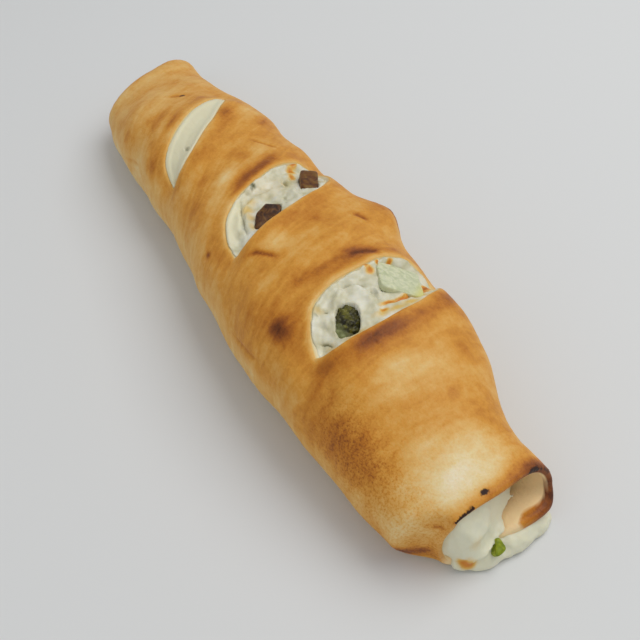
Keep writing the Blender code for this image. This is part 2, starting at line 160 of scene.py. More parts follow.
def smoothRing(angle, table):
    degrees = np.array([row[0] for row in table], float)
    values = np.array([row[1] for row in table], float)
    degrees = np.concatenate([degrees - 360, degrees, degrees + 360])
    turned = (np.degrees(angle) + 180) % 360 - 180
    return smoothCurve(turned, degrees, np.tile(values, 3))


def station(place, column):
    rows = roll["stations"]
    return smoothCurve(place, [row[0] for row in rows], [row[column] for row in rows])


def closing(cap):
    return np.cos(cap) ** (2 / roll["capPower"])


def leaned(place, angle, cap=0.0):  # rows of the grid lean as the slashes do
    lean = smoothCurve(place, [row[0] for row in roll["leans"]], [row[1] for row in roll["leans"]])
    ahead = lean * station(place, 2) * np.sin(angle) * closing(cap)
    return place + ahead * ease((roll["mouth"] - place) / roll["leanFade"])


def slashRadius(slash):
    return float(station(np.array(slash[0]), 2))


def slashContour(slash, grow=0.0):
    place, turn, direction, halfLength, farBows, nearBows, _, ragged = slash
    around = np.linspace(0, 2 * math.pi, slashShape["points"], endpoint=False)
    along = np.cos(around)
    farBow = smoothCurve(along, slashShape["bowPlaces"], farBows) + grow
    nearBow = smoothCurve(along, slashShape["bowPlaces"], nearBows) + grow
    bow = np.where(np.sin(around) < 0, -farBow, nearBow)
    bow = bow + ragged * (np.sin(around * 7 + place * 90) + 0.7 * np.sin(around * 13 + 2))
    across = bow * (1 - np.abs(along) ** slashShape["bowPower"])
    along = along * (halfLength + slashShape["tipDraw"] * grow)
    heading = math.radians(direction)
    centre = slashRadius(slash) * math.radians(turn)
    x = place + along * math.cos(heading) + across * math.sin(heading)
    return np.stack([x, centre + along * math.sin(heading) - across * math.cos(heading)], axis=-1)


def nearestOnContour(points, contour):  # foot, and the distance, negative inside
    feet, gaps = [], []
    edge = np.roll(contour, -1, axis=0) - contour
    end = contour + edge
    rise = np.where(edge[:, 1] == 0, 1.0, edge[:, 1])
    for part in np.array_split(points, max(1, len(points) // 20000)):
        offset = part[:, None, :] - contour[None, :, :]
        t = np.clip((offset * edge).sum(-1) / (edge * edge).sum(-1), 0.0, 1.0)
        foot = contour + t[..., None] * edge
        distance = np.linalg.norm(part[:, None, :] - foot, axis=-1)
        pick = np.arange(len(part))
        best = distance.argmin(axis=1)
        y = part[:, 1:]
        crosses = (contour[:, 1] > y) != (end[:, 1] > y)
        left = part[:, :1] < contour[:, 0] + (y - contour[:, 1]) * edge[:, 0] / rise
        inside = (crosses & left).sum(axis=1) % 2 == 1
        feet.append(foot[pick, best])
        gaps.append(np.where(inside, -1.0, 1.0) * distance[pick, best])
    return np.concatenate(feet), np.concatenate(gaps)


def unrolled(slash, place, angle):
    return np.stack([place.ravel(), angle.ravel() * slashRadius(slash)], axis=-1)


def slashGap(slash, place, angle, grow=0.0):
    return nearestOnContour(unrolled(slash, place, angle), slashContour(slash, grow))[1].reshape(place.shape)


def acrossSlash(slash, place, angle):  # positive on the side nearer the open end
    heading = math.radians(slash[2])
    over = (place - slash[0]) * math.sin(heading)
    return over - (angle - math.radians(slash[1])) * slashRadius(slash) * math.cos(heading)


def alongSlash(slash, place, angle):
    heading = math.radians(slash[2])
    over = (place - slash[0]) * math.cos(heading)
    return over + (angle - math.radians(slash[1])) * slashRadius(slash) * math.sin(heading)


# Swellings and hollows: place along X, angle in degrees, size along X, size round the crust, height.
puffs = (
    (0.0213, 60, 0.012, 0.014, 0.003),
    (0.0373, 30, 0.016, 0.02, 0.001),
    (-0.0387, 30, 0.014, 0.02, 0.0012),
    (0.0993, 10, 0.018, 0.03, 0.0008),
    (0.0293, -70, 0.02, 0.016, -0.0008),
    # smaller ones, seen only in the fine mesh
    (0.03, 56, 0.007, 0.007, 0.0014),
    (0.0628, -44, 0.0065, 0.0065, 0.001),
    (-0.0267, -15, 0.006, 0.008, 0.0007),
    (0.095, -30, 0.012, 0.01, 0.0007),
    (0.04, -50, 0.01, 0.01, 0.0006),
    (-0.035, -50, 0.012, 0.01, 0.0006),
    (-0.105, -40, 0.012, 0.012, 0.0006),
    (0.123, -45, 0.012, 0.012, 0.0005),
    (0.118, 30, 0.012, 0.012, -0.0006),
)
wave = {"height": 0.0005, "long": 95, "short": 210, "shortShare": 0.6, "levelFrom": -0.75, "levelFade": 0.6}

# Folds of the dough skin: points as (mm along, degrees round), width and depth in metres, how much darker the
# fold is painted: painted shade along the grooves, browning along the raised fold.
creases = (
    (((23.5, -35), (25.3, -28.2), (29.3, -23), (35, -17.5)), 0.0012, 0.0006, 0.32),
    (((24, 28), (27.5, 33), (31, 37)), 0.0013, 0.0007, 0.28),
    (((46, 7), (46.8, 17.5), (47.8, 23.5), (50.5, 30)), 0.0022, 0.0007, 0.24),
    (((-48, 13), (-40, 22), (-33, 29)), 0.0006, 0.0005, 0.2),
    (((-105, -4), (-103.3, 0), (-102, 4)), 0.001, 0.0004, 0.18),
    (((18, 57), (24, 62), (30, 69), (34, 76)), 0.0014, -0.0005, 0.4),
    (((0, 78), (14, 82), (30, 92)), 0.0012, 0.0008, 0.15),
    (((-30, 80), (-12, 88), (6, 96)), 0.0012, 0.0008, 0.12),
    (((60, 84), (80, 92), (100, 96)), 0.0013, 0.0008, 0.12),
    (((-95, -88), (-84, -80), (-74, -76)), 0.001, 0.0006, 0.12),
    (((36, -86), (52, -78), (66, -74)), 0.0012, 0.0007, 0.1),
)


def creaseField(points, width, place, angle):
    best = np.full(place.shape, 1.0)
    radius = station(place, 2)
    arc = angle * radius
    taper = np.ones(place.shape)
    (firstX, firstA), (lastX, lastA) = points[0], points[-1]
    fade = 0.3 * math.hypot((lastX - firstX) / 1000, math.radians(lastA - firstA) * 0.038)
    for x, a in (points[0], points[-1]):
        taper = taper * ease(np.hypot(place - x / 1000, arc - math.radians(a) * radius) / fade)
    for (x0, a0), (x1, a1) in zip(points, points[1:]):
        startX, startY = x0 / 1000, math.radians(a0) * radius
        stepX, stepY = (x1 - x0) / 1000, math.radians(a1 - a0) * radius
        t = np.clip(((place - startX) * stepX + (arc - startY) * stepY) / (stepX**2 + stepY**2), 0, 1)
        away = np.hypot(place - startX - t * stepX, arc - startY - t * stepY)
        best = np.minimum(best, away)
    return taper * bell(best, width)


def relief(place, angle):
    sway = np.sin(place * wave["long"] + 2 * np.sin(angle * 2 + 1))
    lift = wave["height"] * sway * np.cos(angle * 1.5 - 0.6)
    lift = lift + wave["height"] * wave["shortShare"] * np.sin(place * wave["short"] + angle * 3)
    for at, degrees, long, wide, height in puffs:
        around = (angle - math.radians(degrees)) * station(place, 2)
        lift = lift + height * np.exp(-(((place - at) / long) ** 2) - (around / wide) ** 2)
    lipWidth = slashShape["lipWidth"]
    for slash in slashes:
        near = np.abs(place - slash[0]) < slashShape["reach"]
        if not near.any():
            continue
        distance = np.full(place.shape, 0.1)
        distance[near] = np.maximum(slashGap(slash, place[near], angle[near]), 0.0)
        nearSide = ease(acrossSlash(slash, place, angle) / lipWidth)
        lift = lift + slashShape["lipRise"] * nearSide * bell(distance, lipWidth)
        heading = math.radians(slash[2])
        radius = slashRadius(slash)
        for end in (-1, 1):
            tipPlace = slash[0] + end * slash[3] * math.cos(heading)
            tipAround = radius * math.radians(slash[1]) + end * slash[3] * math.sin(heading)
            apart = (place - tipPlace) ** 2 + (angle * radius - tipAround) ** 2
            lift = lift - slashShape["tipSink"] * np.exp(-apart / slashShape["tipWidth"] ** 2)
    return lift * ease((np.cos(angle) - wave["levelFrom"]) / wave["levelFade"])


def lipChange(kind, place, angle):
    fade = lip[kind + "Fade"]
    return smoothRing(angle, lip[kind]) * ease((place - roll["mouth"] + fade) / fade)


def crustPoint(place, cap, angle, depth, extra=0.0):  # extra is fine relief, added along the section
    depth = depth + np.where(depth > 0.003, lipChange("pinch", place, angle), 0.0)
    centre, half, height = station(place, 1), station(place, 2) - depth, station(place, 3)
    middle = roll["middle"] * height
    lift = relief(place, angle) + extra
    side, up = np.sin(angle), np.cos(angle)
    y = half * np.sign(side) * np.abs(side) ** roll["sidePower"]
    crown = middle + (height - depth - middle) * np.abs(up) ** roll["crownPower"]
    pressed = np.minimum(roll["baseSpread"] * np.abs(up) ** roll["basePower"], 1.0)
    z = np.where(up > 0, crown, middle - (middle - depth) * pressed)
    y = y + lift * side + lipChange("fold", place, angle)
    z = np.maximum(z + lift * up, depth)
    shrink = closing(cap)
    y = y * shrink
    z = middle + (z - middle) * shrink + (roll["tuckLevel"] * height - middle) * (1 - shrink)
    z = z + lipChange("curl", place, angle)
    x = place - (roll["capLength"] - depth) * np.sin(cap) ** (2 / roll["capPower"])
    x = x + lipChange("reach", place, angle)
    return np.stack([x, centre + y, z], axis=-1)


def fractal(points, size, octaves=3, seed=0.0):
    shift = Vector((seed, seed * 1.7, -seed))
    places = (Vector(point) / size + shift for point in points.reshape(-1, 3))
    return np.array([noise.fractal(place, 1.0, 2.0, octaves) for place in places])


def spot(place, angle, at, degrees, long, wide, turn=0.0):
    radius = station(place, 2)
    x, y = place - at / 1000, (angle - math.radians(degrees)) * radius
    c, s = math.cos(math.radians(turn)), math.sin(math.radians(turn))
    return np.exp(-(((x * c + y * s) / (long / 1000)) ** 2) - ((y * c - x * s) / (wide / 1000)) ** 2)


def toLinear(hexColour):
    channels = [int(hexColour[at : at + 2], 16) / 255 for at in (0, 2, 4)]
    return tuple(c / 12.92 if c <= 0.04045 else ((c + 0.055) / 1.055) ** 2.4 for c in channels) + (1.0,)


def addNode(tree, kind, inputs=None, stops=None, **settings):
    node = tree.nodes.new("ShaderNode" + kind)
    for name, value in settings.items():
        setattr(node, name, value)
    for name, value in (inputs or {}).items():
        if isinstance(value, bpy.types.Node):  # a node stands for its first output in use
            value = next(output for output in value.outputs if output.enabled)
        if isinstance(value, bpy.types.NodeSocket):
            tree.links.new(value, node.inputs[name])
        else:
            node.inputs[name].default_value = value
    if stops:  # colour stops as (place, hex)
        elements = node.color_ramp.elements
        while len(elements) < len(stops):
            elements.new(0.5)
        for element, (place, hexColour) in zip(elements, stops):
            element.position = place
            element.color = toLinear(hexColour)
    return node


def startMaterial(name, values):
    material = bpy.data.materials.new(name)
    material.use_nodes = True
    shader = material.node_tree.nodes["Principled BSDF"]
    for key, value in values.items():
        shader.inputs[key].default_value = value
    return material, material.node_tree, shader


def placeObject(name, data):
    made = bpy.data.objects.new(name, data)
    bpy.context.scene.collection.objects.link(made)
    return made


def placeShape(name, shape):
    mesh = bpy.data.meshes.new(name)
    shape.to_mesh(mesh)
    shape.free()
    return placeObject(name, mesh)


def addMesh(name, points, faces, material, attributes=None):
    mesh = bpy.data.meshes.new(name)
    mesh.from_pydata([tuple(point) for point in points], [], faces)
    mesh.shade_smooth()
    mesh.materials.append(material)
    for key, values in (attributes or {}).items():
        vector = values.ndim == 2
        layer = mesh.attributes.new(key, "FLOAT_VECTOR" if vector else "FLOAT", "POINT")
        layer.data.foreach_set("vector" if vector else "value", values.astype(np.float32).ravel())
    return placeObject(name, mesh)


def applyModifiers(piece):
    graph = bpy.context.evaluated_depsgraph_get()
    mesh = bpy.data.meshes.new_from_object(piece.evaluated_get(graph))
    piece.modifiers.clear()
    piece.vertex_groups.clear()
    piece.data = mesh
    return piece


def addPart(piece, node):
    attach(piece, "root")
    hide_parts(node)
    print(piece.name, len(piece.data.polygons), "faces")


dough = {
    "rowStep": 0.00105,
    "columns": 196,
    "crowding": 0.16,
    "capRows": 14,
    "innerKept": 0.25,  # share of the hidden inner skin's faces that stays
    "wrinkle": 0.00022,
    "wrinkleSize": 0.011,
    "grain": 0.00007,
    "grainSize": 0.0028,
    # paler towards the sealed end: partly lighter baking, partly painted light
    "alongBakeAndLight": ((-0.155, -0.14), (-0.1, -0.1), (-0.05, -0.06), (0.0, -0.05), (0.05, -0.03), (0.1, 0.0)),
    "topBake": 0.52,
    "sideBake": 0.36,
    "floorBake": 0.27,
    "underBake": 0.58,
    "lowBake": 0.4,
    "capDarkBand": (0.22, 0.62, 0.2),  # amount, place and width of a darker band round the sealed end
    "charAcross": 0.3,  # how much of the wall a charred mark covers
    "charBrown": 0.08,
    "toastWidth": 0.0035,
    "cutFrom": 0.28,  # share of the wall where its skin colour ends
    "throughFade": 0.002,
    "insideFade": 0.0028,
    "tanFrom": 0.03,
    "tanFade": 0.02,
    "hiddenFrom": 0.006,  # how far from a slash, and how many rows in, nothing sees the inner skin
    "hiddenRows": 8,
}
# Colour beside a slash, from its edge outwards.
slashTint = {
    "nearBrown": (0.05, 0.02, 0.1),  # for each slash
    "farPale": (0.0, 0.04, 0.14),
    "sideFade": 0.006,
    "brownAt": 0.0055,
    "brownWidth": 0.004,
    "edgePale": 0.1,
    "edgeWidth": 0.0016,
    "farWidth": 0.0026,
    "ringBrown": 0.04,
    "ringAt": 0.005,
}
# Browner (+) and paler (-) places on the crust, a few of the darker ones painted shade: mm along, degrees
# round, size in mm along and round, turn in degrees, amount.
bakeAndShadeSpots = (
    (62.8, -45, 5.5, 6.0, 0, 0.3),
    (61, -43, 11, 10, 0, 0.1),
    (-25, -15.5, 4.0, 7.0, 35, -0.26),
    (5.5, -59, 1.5, 1.8, 0, 0.34),
    # painted shade below the near lip of the third slash
    (88, -6, 4, 13, -12, 0.13),
    (84, 14, 3, 9, -12, 0.1),
    (103, 3, 9, 17, -15, -0.2),
    (139, -20, 14, 17, 0, -0.27),
    (142, 0, 9, 14, 0, -0.24),
    (144, -62, 7, 11, 0, -0.2),
    (133, -75, 8, 8, 0, -0.08),
    (133, 12, 8, 12, 0, -0.1),
    (143.5, -112, 5, 6, 0, 0.44),
    (147.5, -103, 2.5, 3, 0, 0.2),
    (148.5, -61, 1.6, 1.8, 0, 0.24),
    (148, -148, 5, 5, 0, -0.3),
    (135, -110, 8, 8, 0, 0.1),
    (-92.5, 13, 3.5, 4, 0, 0.18),
    (-87, -27, 3, 8, 40, 0.18),
    (-79, -20, 2.5, 6, 40, 0.2),
    (-96, -61, 3, 4, 0, 0.16),
    (-66, -60, 3, 5, 30, 0.18),
    (-88, -90, 5, 4, 0, 0.1),
    (-70, 12, 5, 4, 30, 0.14),
    (-36, 0, 5, 5, 30, 0.13),
    (-32, -30, 5, 6, 20, 0.13),
    (-19, -6, 3.0, 11, 38, 0.24),
    (-25, 10, 3.0, 8, 38, 0.24),
    (-25, -50, 6, 7, 0, 0.12),
    (-15, -30, 6, 7, 0, -0.1),
    (5, -48, 10, 6, 0, 0.06),
    (20, 60, 9, 10, 0, 0.1),
    (22, 9, 6, 8, 10, 0.12),
    (26, -17, 6, 5, 35, -0.15),
    (38, -8, 8, 9, 0, -0.06),
    (45, 12, 4, 11, -12, 0.08),
    (48.5, -3, 3.2, 13, 0, 0.13),
    (-62, 45, 6, 10, 30, 0.14),
    # darker low on the near side: painted shade, partly darker baking
    (110, -60, 26, 14, 0, 0.12),
    (60, -78, 40, 8, 0, 0.08),
    (-150, 180, 30, 60, 0, 0.1),
    (0, 140, 26, 10, 0, 0.12),
    (70, 120, 26, 10, 0, 0.1),
    (-60, 130, 22, 9, 0, 0.1),
)
# Charred marks: mm along, degrees round, size in mm along and round, how far across the lip's cut face.
charSpots = (
    (150.3, -35, 0.8, 1.2, 0.4),
    (150.3, -31, 0.9, 1.5, 0.42),
    (150.3, -26.5, 1.0, 1.6, 0.4),
    (150.3, -22.5, 0.9, 1.4, 0.4),
    (150.3, -18, 1.0, 1.3, 0.4),
    (150.0, -14.5, 1.0, 1.0, 0.3),
    (149.0, -2.5, 1.3, 1.6, 0.1),
    (150.0, 40, 1.2, 2.0, 0.35),
    (150.4, 46, 0.5, 3.0, 0.3),
    (150.6, 54, 0.4, 5.0, 0.2),
    (150.6, 65, 0.36, 6.0, 0.2),
    (-101.7, 4, 0.8, 1.7, 0.0),
)
# How toasted the rim of the open end is, as degrees round it and an amount.
lipToast = (
    (-180, -0.05),
    (-150, -0.2),
    (-125, 0.16),
    (-100, 0.04),
    (-70, 0.02),
    (-40, 0.06),
    (-15, 0.2),
    (10, 0.24),
    (35, 0.24),
    (60, 0.34),
    (90, 0.52),
    (120, 0.6),
    (145, 0.34),
    (165, 0.05),
)
# Where that brown or the skin's own colour goes right through the cut dough, and how far inside it goes.
lipThrough = (
    (-180, 0.0), (-150, 0.2), (-120, 0.8), (-100, 0.9), (-40, 0.9), (0, 1.0), (60, 1.0), (120, 1.0),
    (150, 0.7),
)
lipInside = (
    (-180, 0.0), (0, 0.0), (50, 0.0005), (80, 0.0016), (105, 0.0026), (125, 0.004), (145, 0.0046),
    (165, 0.0),
)


def gridQuads(shape):  # rows of corners, each closed round
    index = np.arange(math.prod(shape)).reshape(shape)
    quads = [index, np.roll(index, -1, 1), np.roll(index, (-1, -1), (0, 1)), np.roll(index, -1, 0)]
    return np.stack(quads, -1)[:-1].reshape(-1, 4)


def tubeFaces(shape):  # the same, with a fan at each end from the two corners that follow the grid
    total = math.prod(shape)
    first, last = np.arange(shape[1]), np.arange(total - shape[1], total)
    faces = gridQuads(shape).tolist()
    faces += [[b, a, total] for a, b in zip(first, np.roll(first, -1))]
    faces += [[a, b, total + 1] for a, b in zip(last, np.roll(last, -1))]
    return faces


def makeDough():
    mouth, sealed, wall = roll["mouth"], roll["sealedEnd"], roll["wall"]
    rows = int((mouth - sealed) / dough["rowStep"])
    places = np.linspace(mouth, sealed, rows)
    capTurn = np.radians(np.linspace(0, 90, dough["capRows"] + 1)[1:-1])
    cap = np.concatenate([np.zeros(rows), capTurn])
    rowPlace = np.concatenate([places, np.full(len(capTurn), sealed)])
    columns = dough["columns"]
    turn = np.linspace(-1, 1, columns, endpoint=False)
    angles = math.pi * turn * (1 - dough["crowding"] + dough["crowding"] * turn * turn)
    rowPlace, angle = np.meshgrid(rowPlace, angles, indexing="ij")
    cap = np.repeat(cap[:, None], columns, axis=1)
    at = leaned(rowPlace, angle, cap)
    grow = slashShape["rings"][0][0]

    # corners beside the edge of a slash move onto it
    gaps = np.stack([slashGap(slash, at, angle, grow) for slash in slashes])
    nearest = gaps.argmin(axis=0)
    gap = gaps.min(axis=0)
    moved = np.zeros(at.shape, bool)
    for axis in (0, 1):
        ahead = np.roll(gap, -1, axis=axis)
        crossing = gap * ahead < 0
        if axis == 0:
            crossing[-1] = False
        moved |= crossing & (np.abs(gap) <= np.abs(ahead))
        moved |= np.roll(crossing & (np.abs(gap) > np.abs(ahead)), 1, axis=axis)
    state = np.where(gap < 0, -1, 1)
    state[moved] = 0
    middle = (at + np.roll(at, (-1, -1), axis=(0, 1))) / 2
    halfTurn = angle + math.pi / columns
    middleGap = np.min([slashGap(slash, middle, halfTurn, grow) for slash in slashes], axis=0)

    skin = at.size
    quad, flat = gridQuads(at.shape), state.ravel()
    states = flat[quad]
    whole = ~(states == -1).any(1) & ((states == 1).any(1) | (middleGap[:-1].ravel() > 0))
    halved = (states == -1).any(1) & (states == 1).any(1)
    faces = quad[whole].tolist()
    for corners, marks in zip(quad[halved].tolist(), states[halved].tolist()):
        faces.append([corner for corner, mark in zip(corners, marks) if mark != -1])
    borders = set()
    for corners in faces:
        for start, end in zip(corners, corners[1:] + corners[:1]):
            if (end, start) in borders:
                borders.remove((end, start))
            else:
                borders.add((start, end))

    # rings of points from the outer skin over each cut edge to the inner skin
    rimCorners = sorted({c for edge in borders for c in edge if columns <= c < skin - columns})
    rim = {corner: number for number, corner in enumerate(rimCorners)}
    rimAt, rimAngle, owner = at.ravel()[rimCorners], angle.ravel()[rimCorners], nearest.ravel()[rimCorners]
    ringPlaces, ringAngles = [], []
    for ringGrow, _ in slashShape["rings"]:
        newAt, newAngle = rimAt.copy(), rimAngle.copy()
        for number, slash in enumerate(slashes):
            mine = owner == number
            flatRim = unrolled(slash, rimAt[mine], rimAngle[mine])
            foot, _ = nearestOnContour(flatRim, slashContour(slash, ringGrow))
            newAt[mine], newAngle[mine] = foot[:, 0], foot[:, 1] / slashRadius(slash)
        ringPlaces.append(newAt)
        ringAngles.append(newAngle)
    outerAt, innerAt = at.ravel().copy(), at.ravel().copy()
    outerAngle, innerAngle = angle.ravel().copy(), angle.ravel().copy()
    outerAt[rimCorners], outerAngle[rimCorners] = ringPlaces[0], ringAngles[0]
    innerAt[rimCorners], innerAngle[rimCorners] = ringPlaces[-1], ringAngles[-1]
    between = slashShape["rings"][1:-1]
    allAt = np.concatenate([outerAt, innerAt] + ringPlaces[1:-1])
    allAngle = np.concatenate([outerAngle, innerAngle] + ringAngles[1:-1])
    ringDepths = [np.full(len(rim), depth) for _, depth in between]
    allDepth = np.concatenate([np.zeros(skin), np.full(skin, wall)] + ringDepths)
    allCap = np.concatenate([cap.ravel(), cap.ravel(), np.zeros(len(rim) * len(between))])

    # fine relief: skin folds, wrinkles and grain, less on the underside
    rough = crustPoint(allAt, allCap, allAngle, allDepth)
    level = ease((np.cos(allAngle) + 0.7) / 0.5)
    extra = np.zeros(len(allAt))
    outside = allDepth < wall * 0.9
    wrinkles = fractal(rough[outside], dough["wrinkleSize"], 3, 1.0)
    grain = fractal(rough[outside], dough["grainSize"], 2, 5.0)
    extra[outside] = dough["wrinkle"] * wrinkles + dough["grain"] * grain
    # the grooves are painted darker as shade, the raised fold browner
    folds = np.zeros(len(allAt))
    for points, width, depth, shadeAndBrown in creases:
        field = creaseField(points, width, allAt, allAngle)
        extra -= depth * field * outside
        folds += shadeAndBrown * field
    points = crustPoint(allAt, allCap, allAngle, allDepth, extra * level)

    # the lip of the open end rolls over
    first, last = points[:columns], points[skin : skin + columns]
    lipRings = []
    for number in range(1, lip["rings"] + 1):
        share = number / (lip["rings"] + 1)
        ring = first + (last - first) * share
        ring[:, 0] += lip["round"] * math.sqrt(1 - (2 * share - 1) ** 2)
        lipRings.append(ring)
    tip, endOn = np.full(1, sealed), np.full(1, math.pi / 2)
    poles = np.stack([crustPoint(tip, endOn, np.zeros(1), np.full(1, depth))[0] for depth in (0.0, wall)])
    allPoints = np.concatenate([points] + lipRings + [poles])
    ringStart, lipStart = 2 * skin, len(points)

    faces += [[corner + skin for corner in reversed(corners)] for corners in faces]
    for start, end in sorted(borders):
        if start < columns and end < columns:
            chain = [(start, end)]
            for n in range(lip["rings"]):
                chain.append((lipStart + n * columns + start, lipStart + n * columns + end))
            chain.append((start + skin, end + skin))
        elif start >= skin - columns and end >= skin - columns:
            faces.append([end, start, len(allPoints) - 2])
            faces.append([start + skin, end + skin, len(allPoints) - 1])
            continue
        else:
            chain = [(start, end)]
            for n in range(len(between)):
                chain.append((ringStart + n * len(rim) + rim[start], ringStart + n * len(rim) + rim[end]))
            chain.append((start + skin, end + skin))
        for (a, b), (c, d) in zip(chain, chain[1:]):
            faces.append([b, a, c, d])

    # what the finish reads: how baked, with painted shade and painted light mixed in, charred, how far into
    # the cut, and a place on the skin for its streaks
    lipAt, lipAngle = np.tile(at[0], lip["rings"]), np.tile(angle[0], lip["rings"])
    attAt = np.concatenate([allAt, lipAt, np.full(2, sealed)])
    attAngle = np.concatenate([allAngle, lipAngle, np.zeros(2)])
    attCap = np.concatenate([allCap, np.zeros(len(lipAt)), np.full(2, math.pi / 2)])
    attFolds = np.concatenate([folds, np.zeros(len(lipAt) + 2)])
    lipShare = np.repeat(np.arange(1, lip["rings"] + 1) / (lip["rings"] + 1), columns)
    inward = np.concatenate([allDepth / wall, lipShare, [0, 1]])
    degrees = np.degrees(np.abs(attAngle))
    top, under = dough["topBake"], dough["underBake"]
    levels = (top, top, dough["sideBake"], dough["floorBake"], dough["lowBake"], under)
    bakeAndShading = np.interp(degrees, (0, 55, 95, 125, 150, 180), levels)
    for x, a, long, wide, turned, amount in bakeAndShadeSpots:
        bakeAndShading += amount * spot(attAt, attAngle, x, a, long, wide, turned)
    tint = slashTint
    for slash, nearBrown, farPale in zip(slashes, tint["nearBrown"], tint["farPale"]):
        distance = np.maximum(slashGap(slash, attAt, attAngle), 0)
        nearSide = ease(acrossSlash(slash, attAt, attAngle) / tint["sideFade"])
        bakeAndShading += nearBrown * nearSide * bell(distance - tint["brownAt"], tint["brownWidth"])
        bakeAndShading -= tint["edgePale"] * bell(distance, tint["edgeWidth"])
        bakeAndShading -= farPale * (1 - nearSide) * bell(distance, tint["farWidth"])
        bakeAndShading += tint["ringBrown"] * bell(distance - tint["ringAt"], tint["brownWidth"])
    bakeAndShading += smoothCurve(attAt, *zip(*dough["alongBakeAndLight"]))
    amount, capAt, capWidth = dough["capDarkBand"]
    bakeAndShading += amount * bell(attCap - capAt, capWidth)
    bakeAndShading += attFolds
    char = np.zeros(len(attAt))
    for x, a, long, wide, across in charSpots:
        onLip = bell(inward - across, dough["charAcross"])
        char = np.maximum(char, spot(attAt, attAngle, x, a, long, wide) * onLip)
    bakeAndShading += smoothRing(attAngle, lipToast) * bell(mouth - attAt, dough["toastWidth"])
    bakeAndShading += dough["charBrown"] * np.sqrt(char)
    cut = ease(inward / dough["cutFrom"])
    # a toasted rim is brown right through, and on part of its inner side
    fade = dough["throughFade"]
    kept = smoothRing(attAngle, lipThrough) * ease((attAt - mouth + fade) / fade)
    kept = kept * ease((0.95 - inward) / 0.25)
    inside = ease((attAt - mouth + smoothRing(attAngle, lipInside)) / dough["insideFade"])
    cut *= 1 - np.clip(np.maximum(kept, inside), 0, 0.96)
    mouthRim = ease((attAt - mouth + dough["tanFrom"]) / dough["tanFade"])
    rowsOf = [np.tile(rowPlace.ravel(), 2), allAt[2 * skin :], lipAt, np.full(2, sealed)]
    skinPlace = np.stack([np.concatenate(rowsOf), attAngle * 0.038, attCap * 0.012], axis=-1)
    # specks lie low on the near side, and thinly all over towards the open end
    lowSide = ease((attAt - 0.085) / 0.03) * ease((-attAngle - 0.35) / 0.5)
    speckle = np.minimum(lowSide + 0.2 * ease((attAt - 0.11) / 0.03), 1)
    attributes = {"bakeAndShading": bakeAndShading, "char": char, "cut": cut, "rim": mouthRim}
    attributes.update({"skin": skinPlace, "speckle": speckle})
    made = addMesh("doughRoll", allPoints, faces, bakedDough(), attributes)

    # the inner skin is thinned out where nothing sees it
    group = made.vertex_groups.new(name="hidden")
    rims = set(rimCorners)
    far, start = np.nonzero(gap.ravel() > dough["hiddenFrom"])[0], dough["hiddenRows"] * columns
    deep = [int(corner) + skin for corner in far if corner >= start and corner not in rims]
    group.add(deep, 1.0, "REPLACE")
    thin = made.modifiers.new("thin", "DECIMATE")
    thin.vertex_group = "hidden"
    thin.ratio = 0.5 + 0.5 * dough["innerKept"]
    return applyModifiers(made)


# Noise of the crust, as scale, detail and roughness: blotches about 14 mm across, mottling about 2.5 mm,
# specks and pores under 1 mm. Streaks run 4 mm by 18 mm along the wraps.
crustFinish = {
    "blotch": (70.0, 3.0, 0.5),
    "mottle": (420.0, 4.0, 0.65),
    "dots": (1150.0, 4.0, 0.7),
    "pores": (1100.0, 3.0, 0.6),
    "streakScale": (230.0, 60.0, 200.0),
    "blotchShare": 0.36,
    "streakShare": 0.28,
    "mottleShare": 0.2,
    "speckShare": 0.15,
    "speckEverywhere": 0.04,
    "browning": (
        (0.0, "efe0c0"),
        (0.16, "e8cf98"),
        (0.34, "e2b367"),
        (0.5, "d6963b"),
        (0.64, "be7724"),
        (0.78, "94511a"),
        (0.92, "5c2d12"),
        (1.0, "3c1e10"),
    ),
    "crumb": ((0.25, "dcae5c"), (0.6, "e2c88e"), (1.0, "e6d8b4")),
    "tan": "f2d4a2",
    "charred": "311a10",
    "shader": {
        "IOR": 1.45,
        "Specular IOR Level": 0.25,
        "Subsurface Weight": 0.12,
        "Subsurface Radius": (1.0, 0.5, 0.25),
        "Subsurface Scale": 0.0015,
    },
}


def readAttributes(tree, names):
    return [addNode(tree, "Attribute", attribute_name=name).outputs["Fac"] for name in names]


def addNoises(tree, place, looks):
    keys = ("Scale", "Detail", "Roughness")
    return [addNode(tree, "TexNoise", {"Vector": place, **dict(zip(keys, look))}) for look in looks]


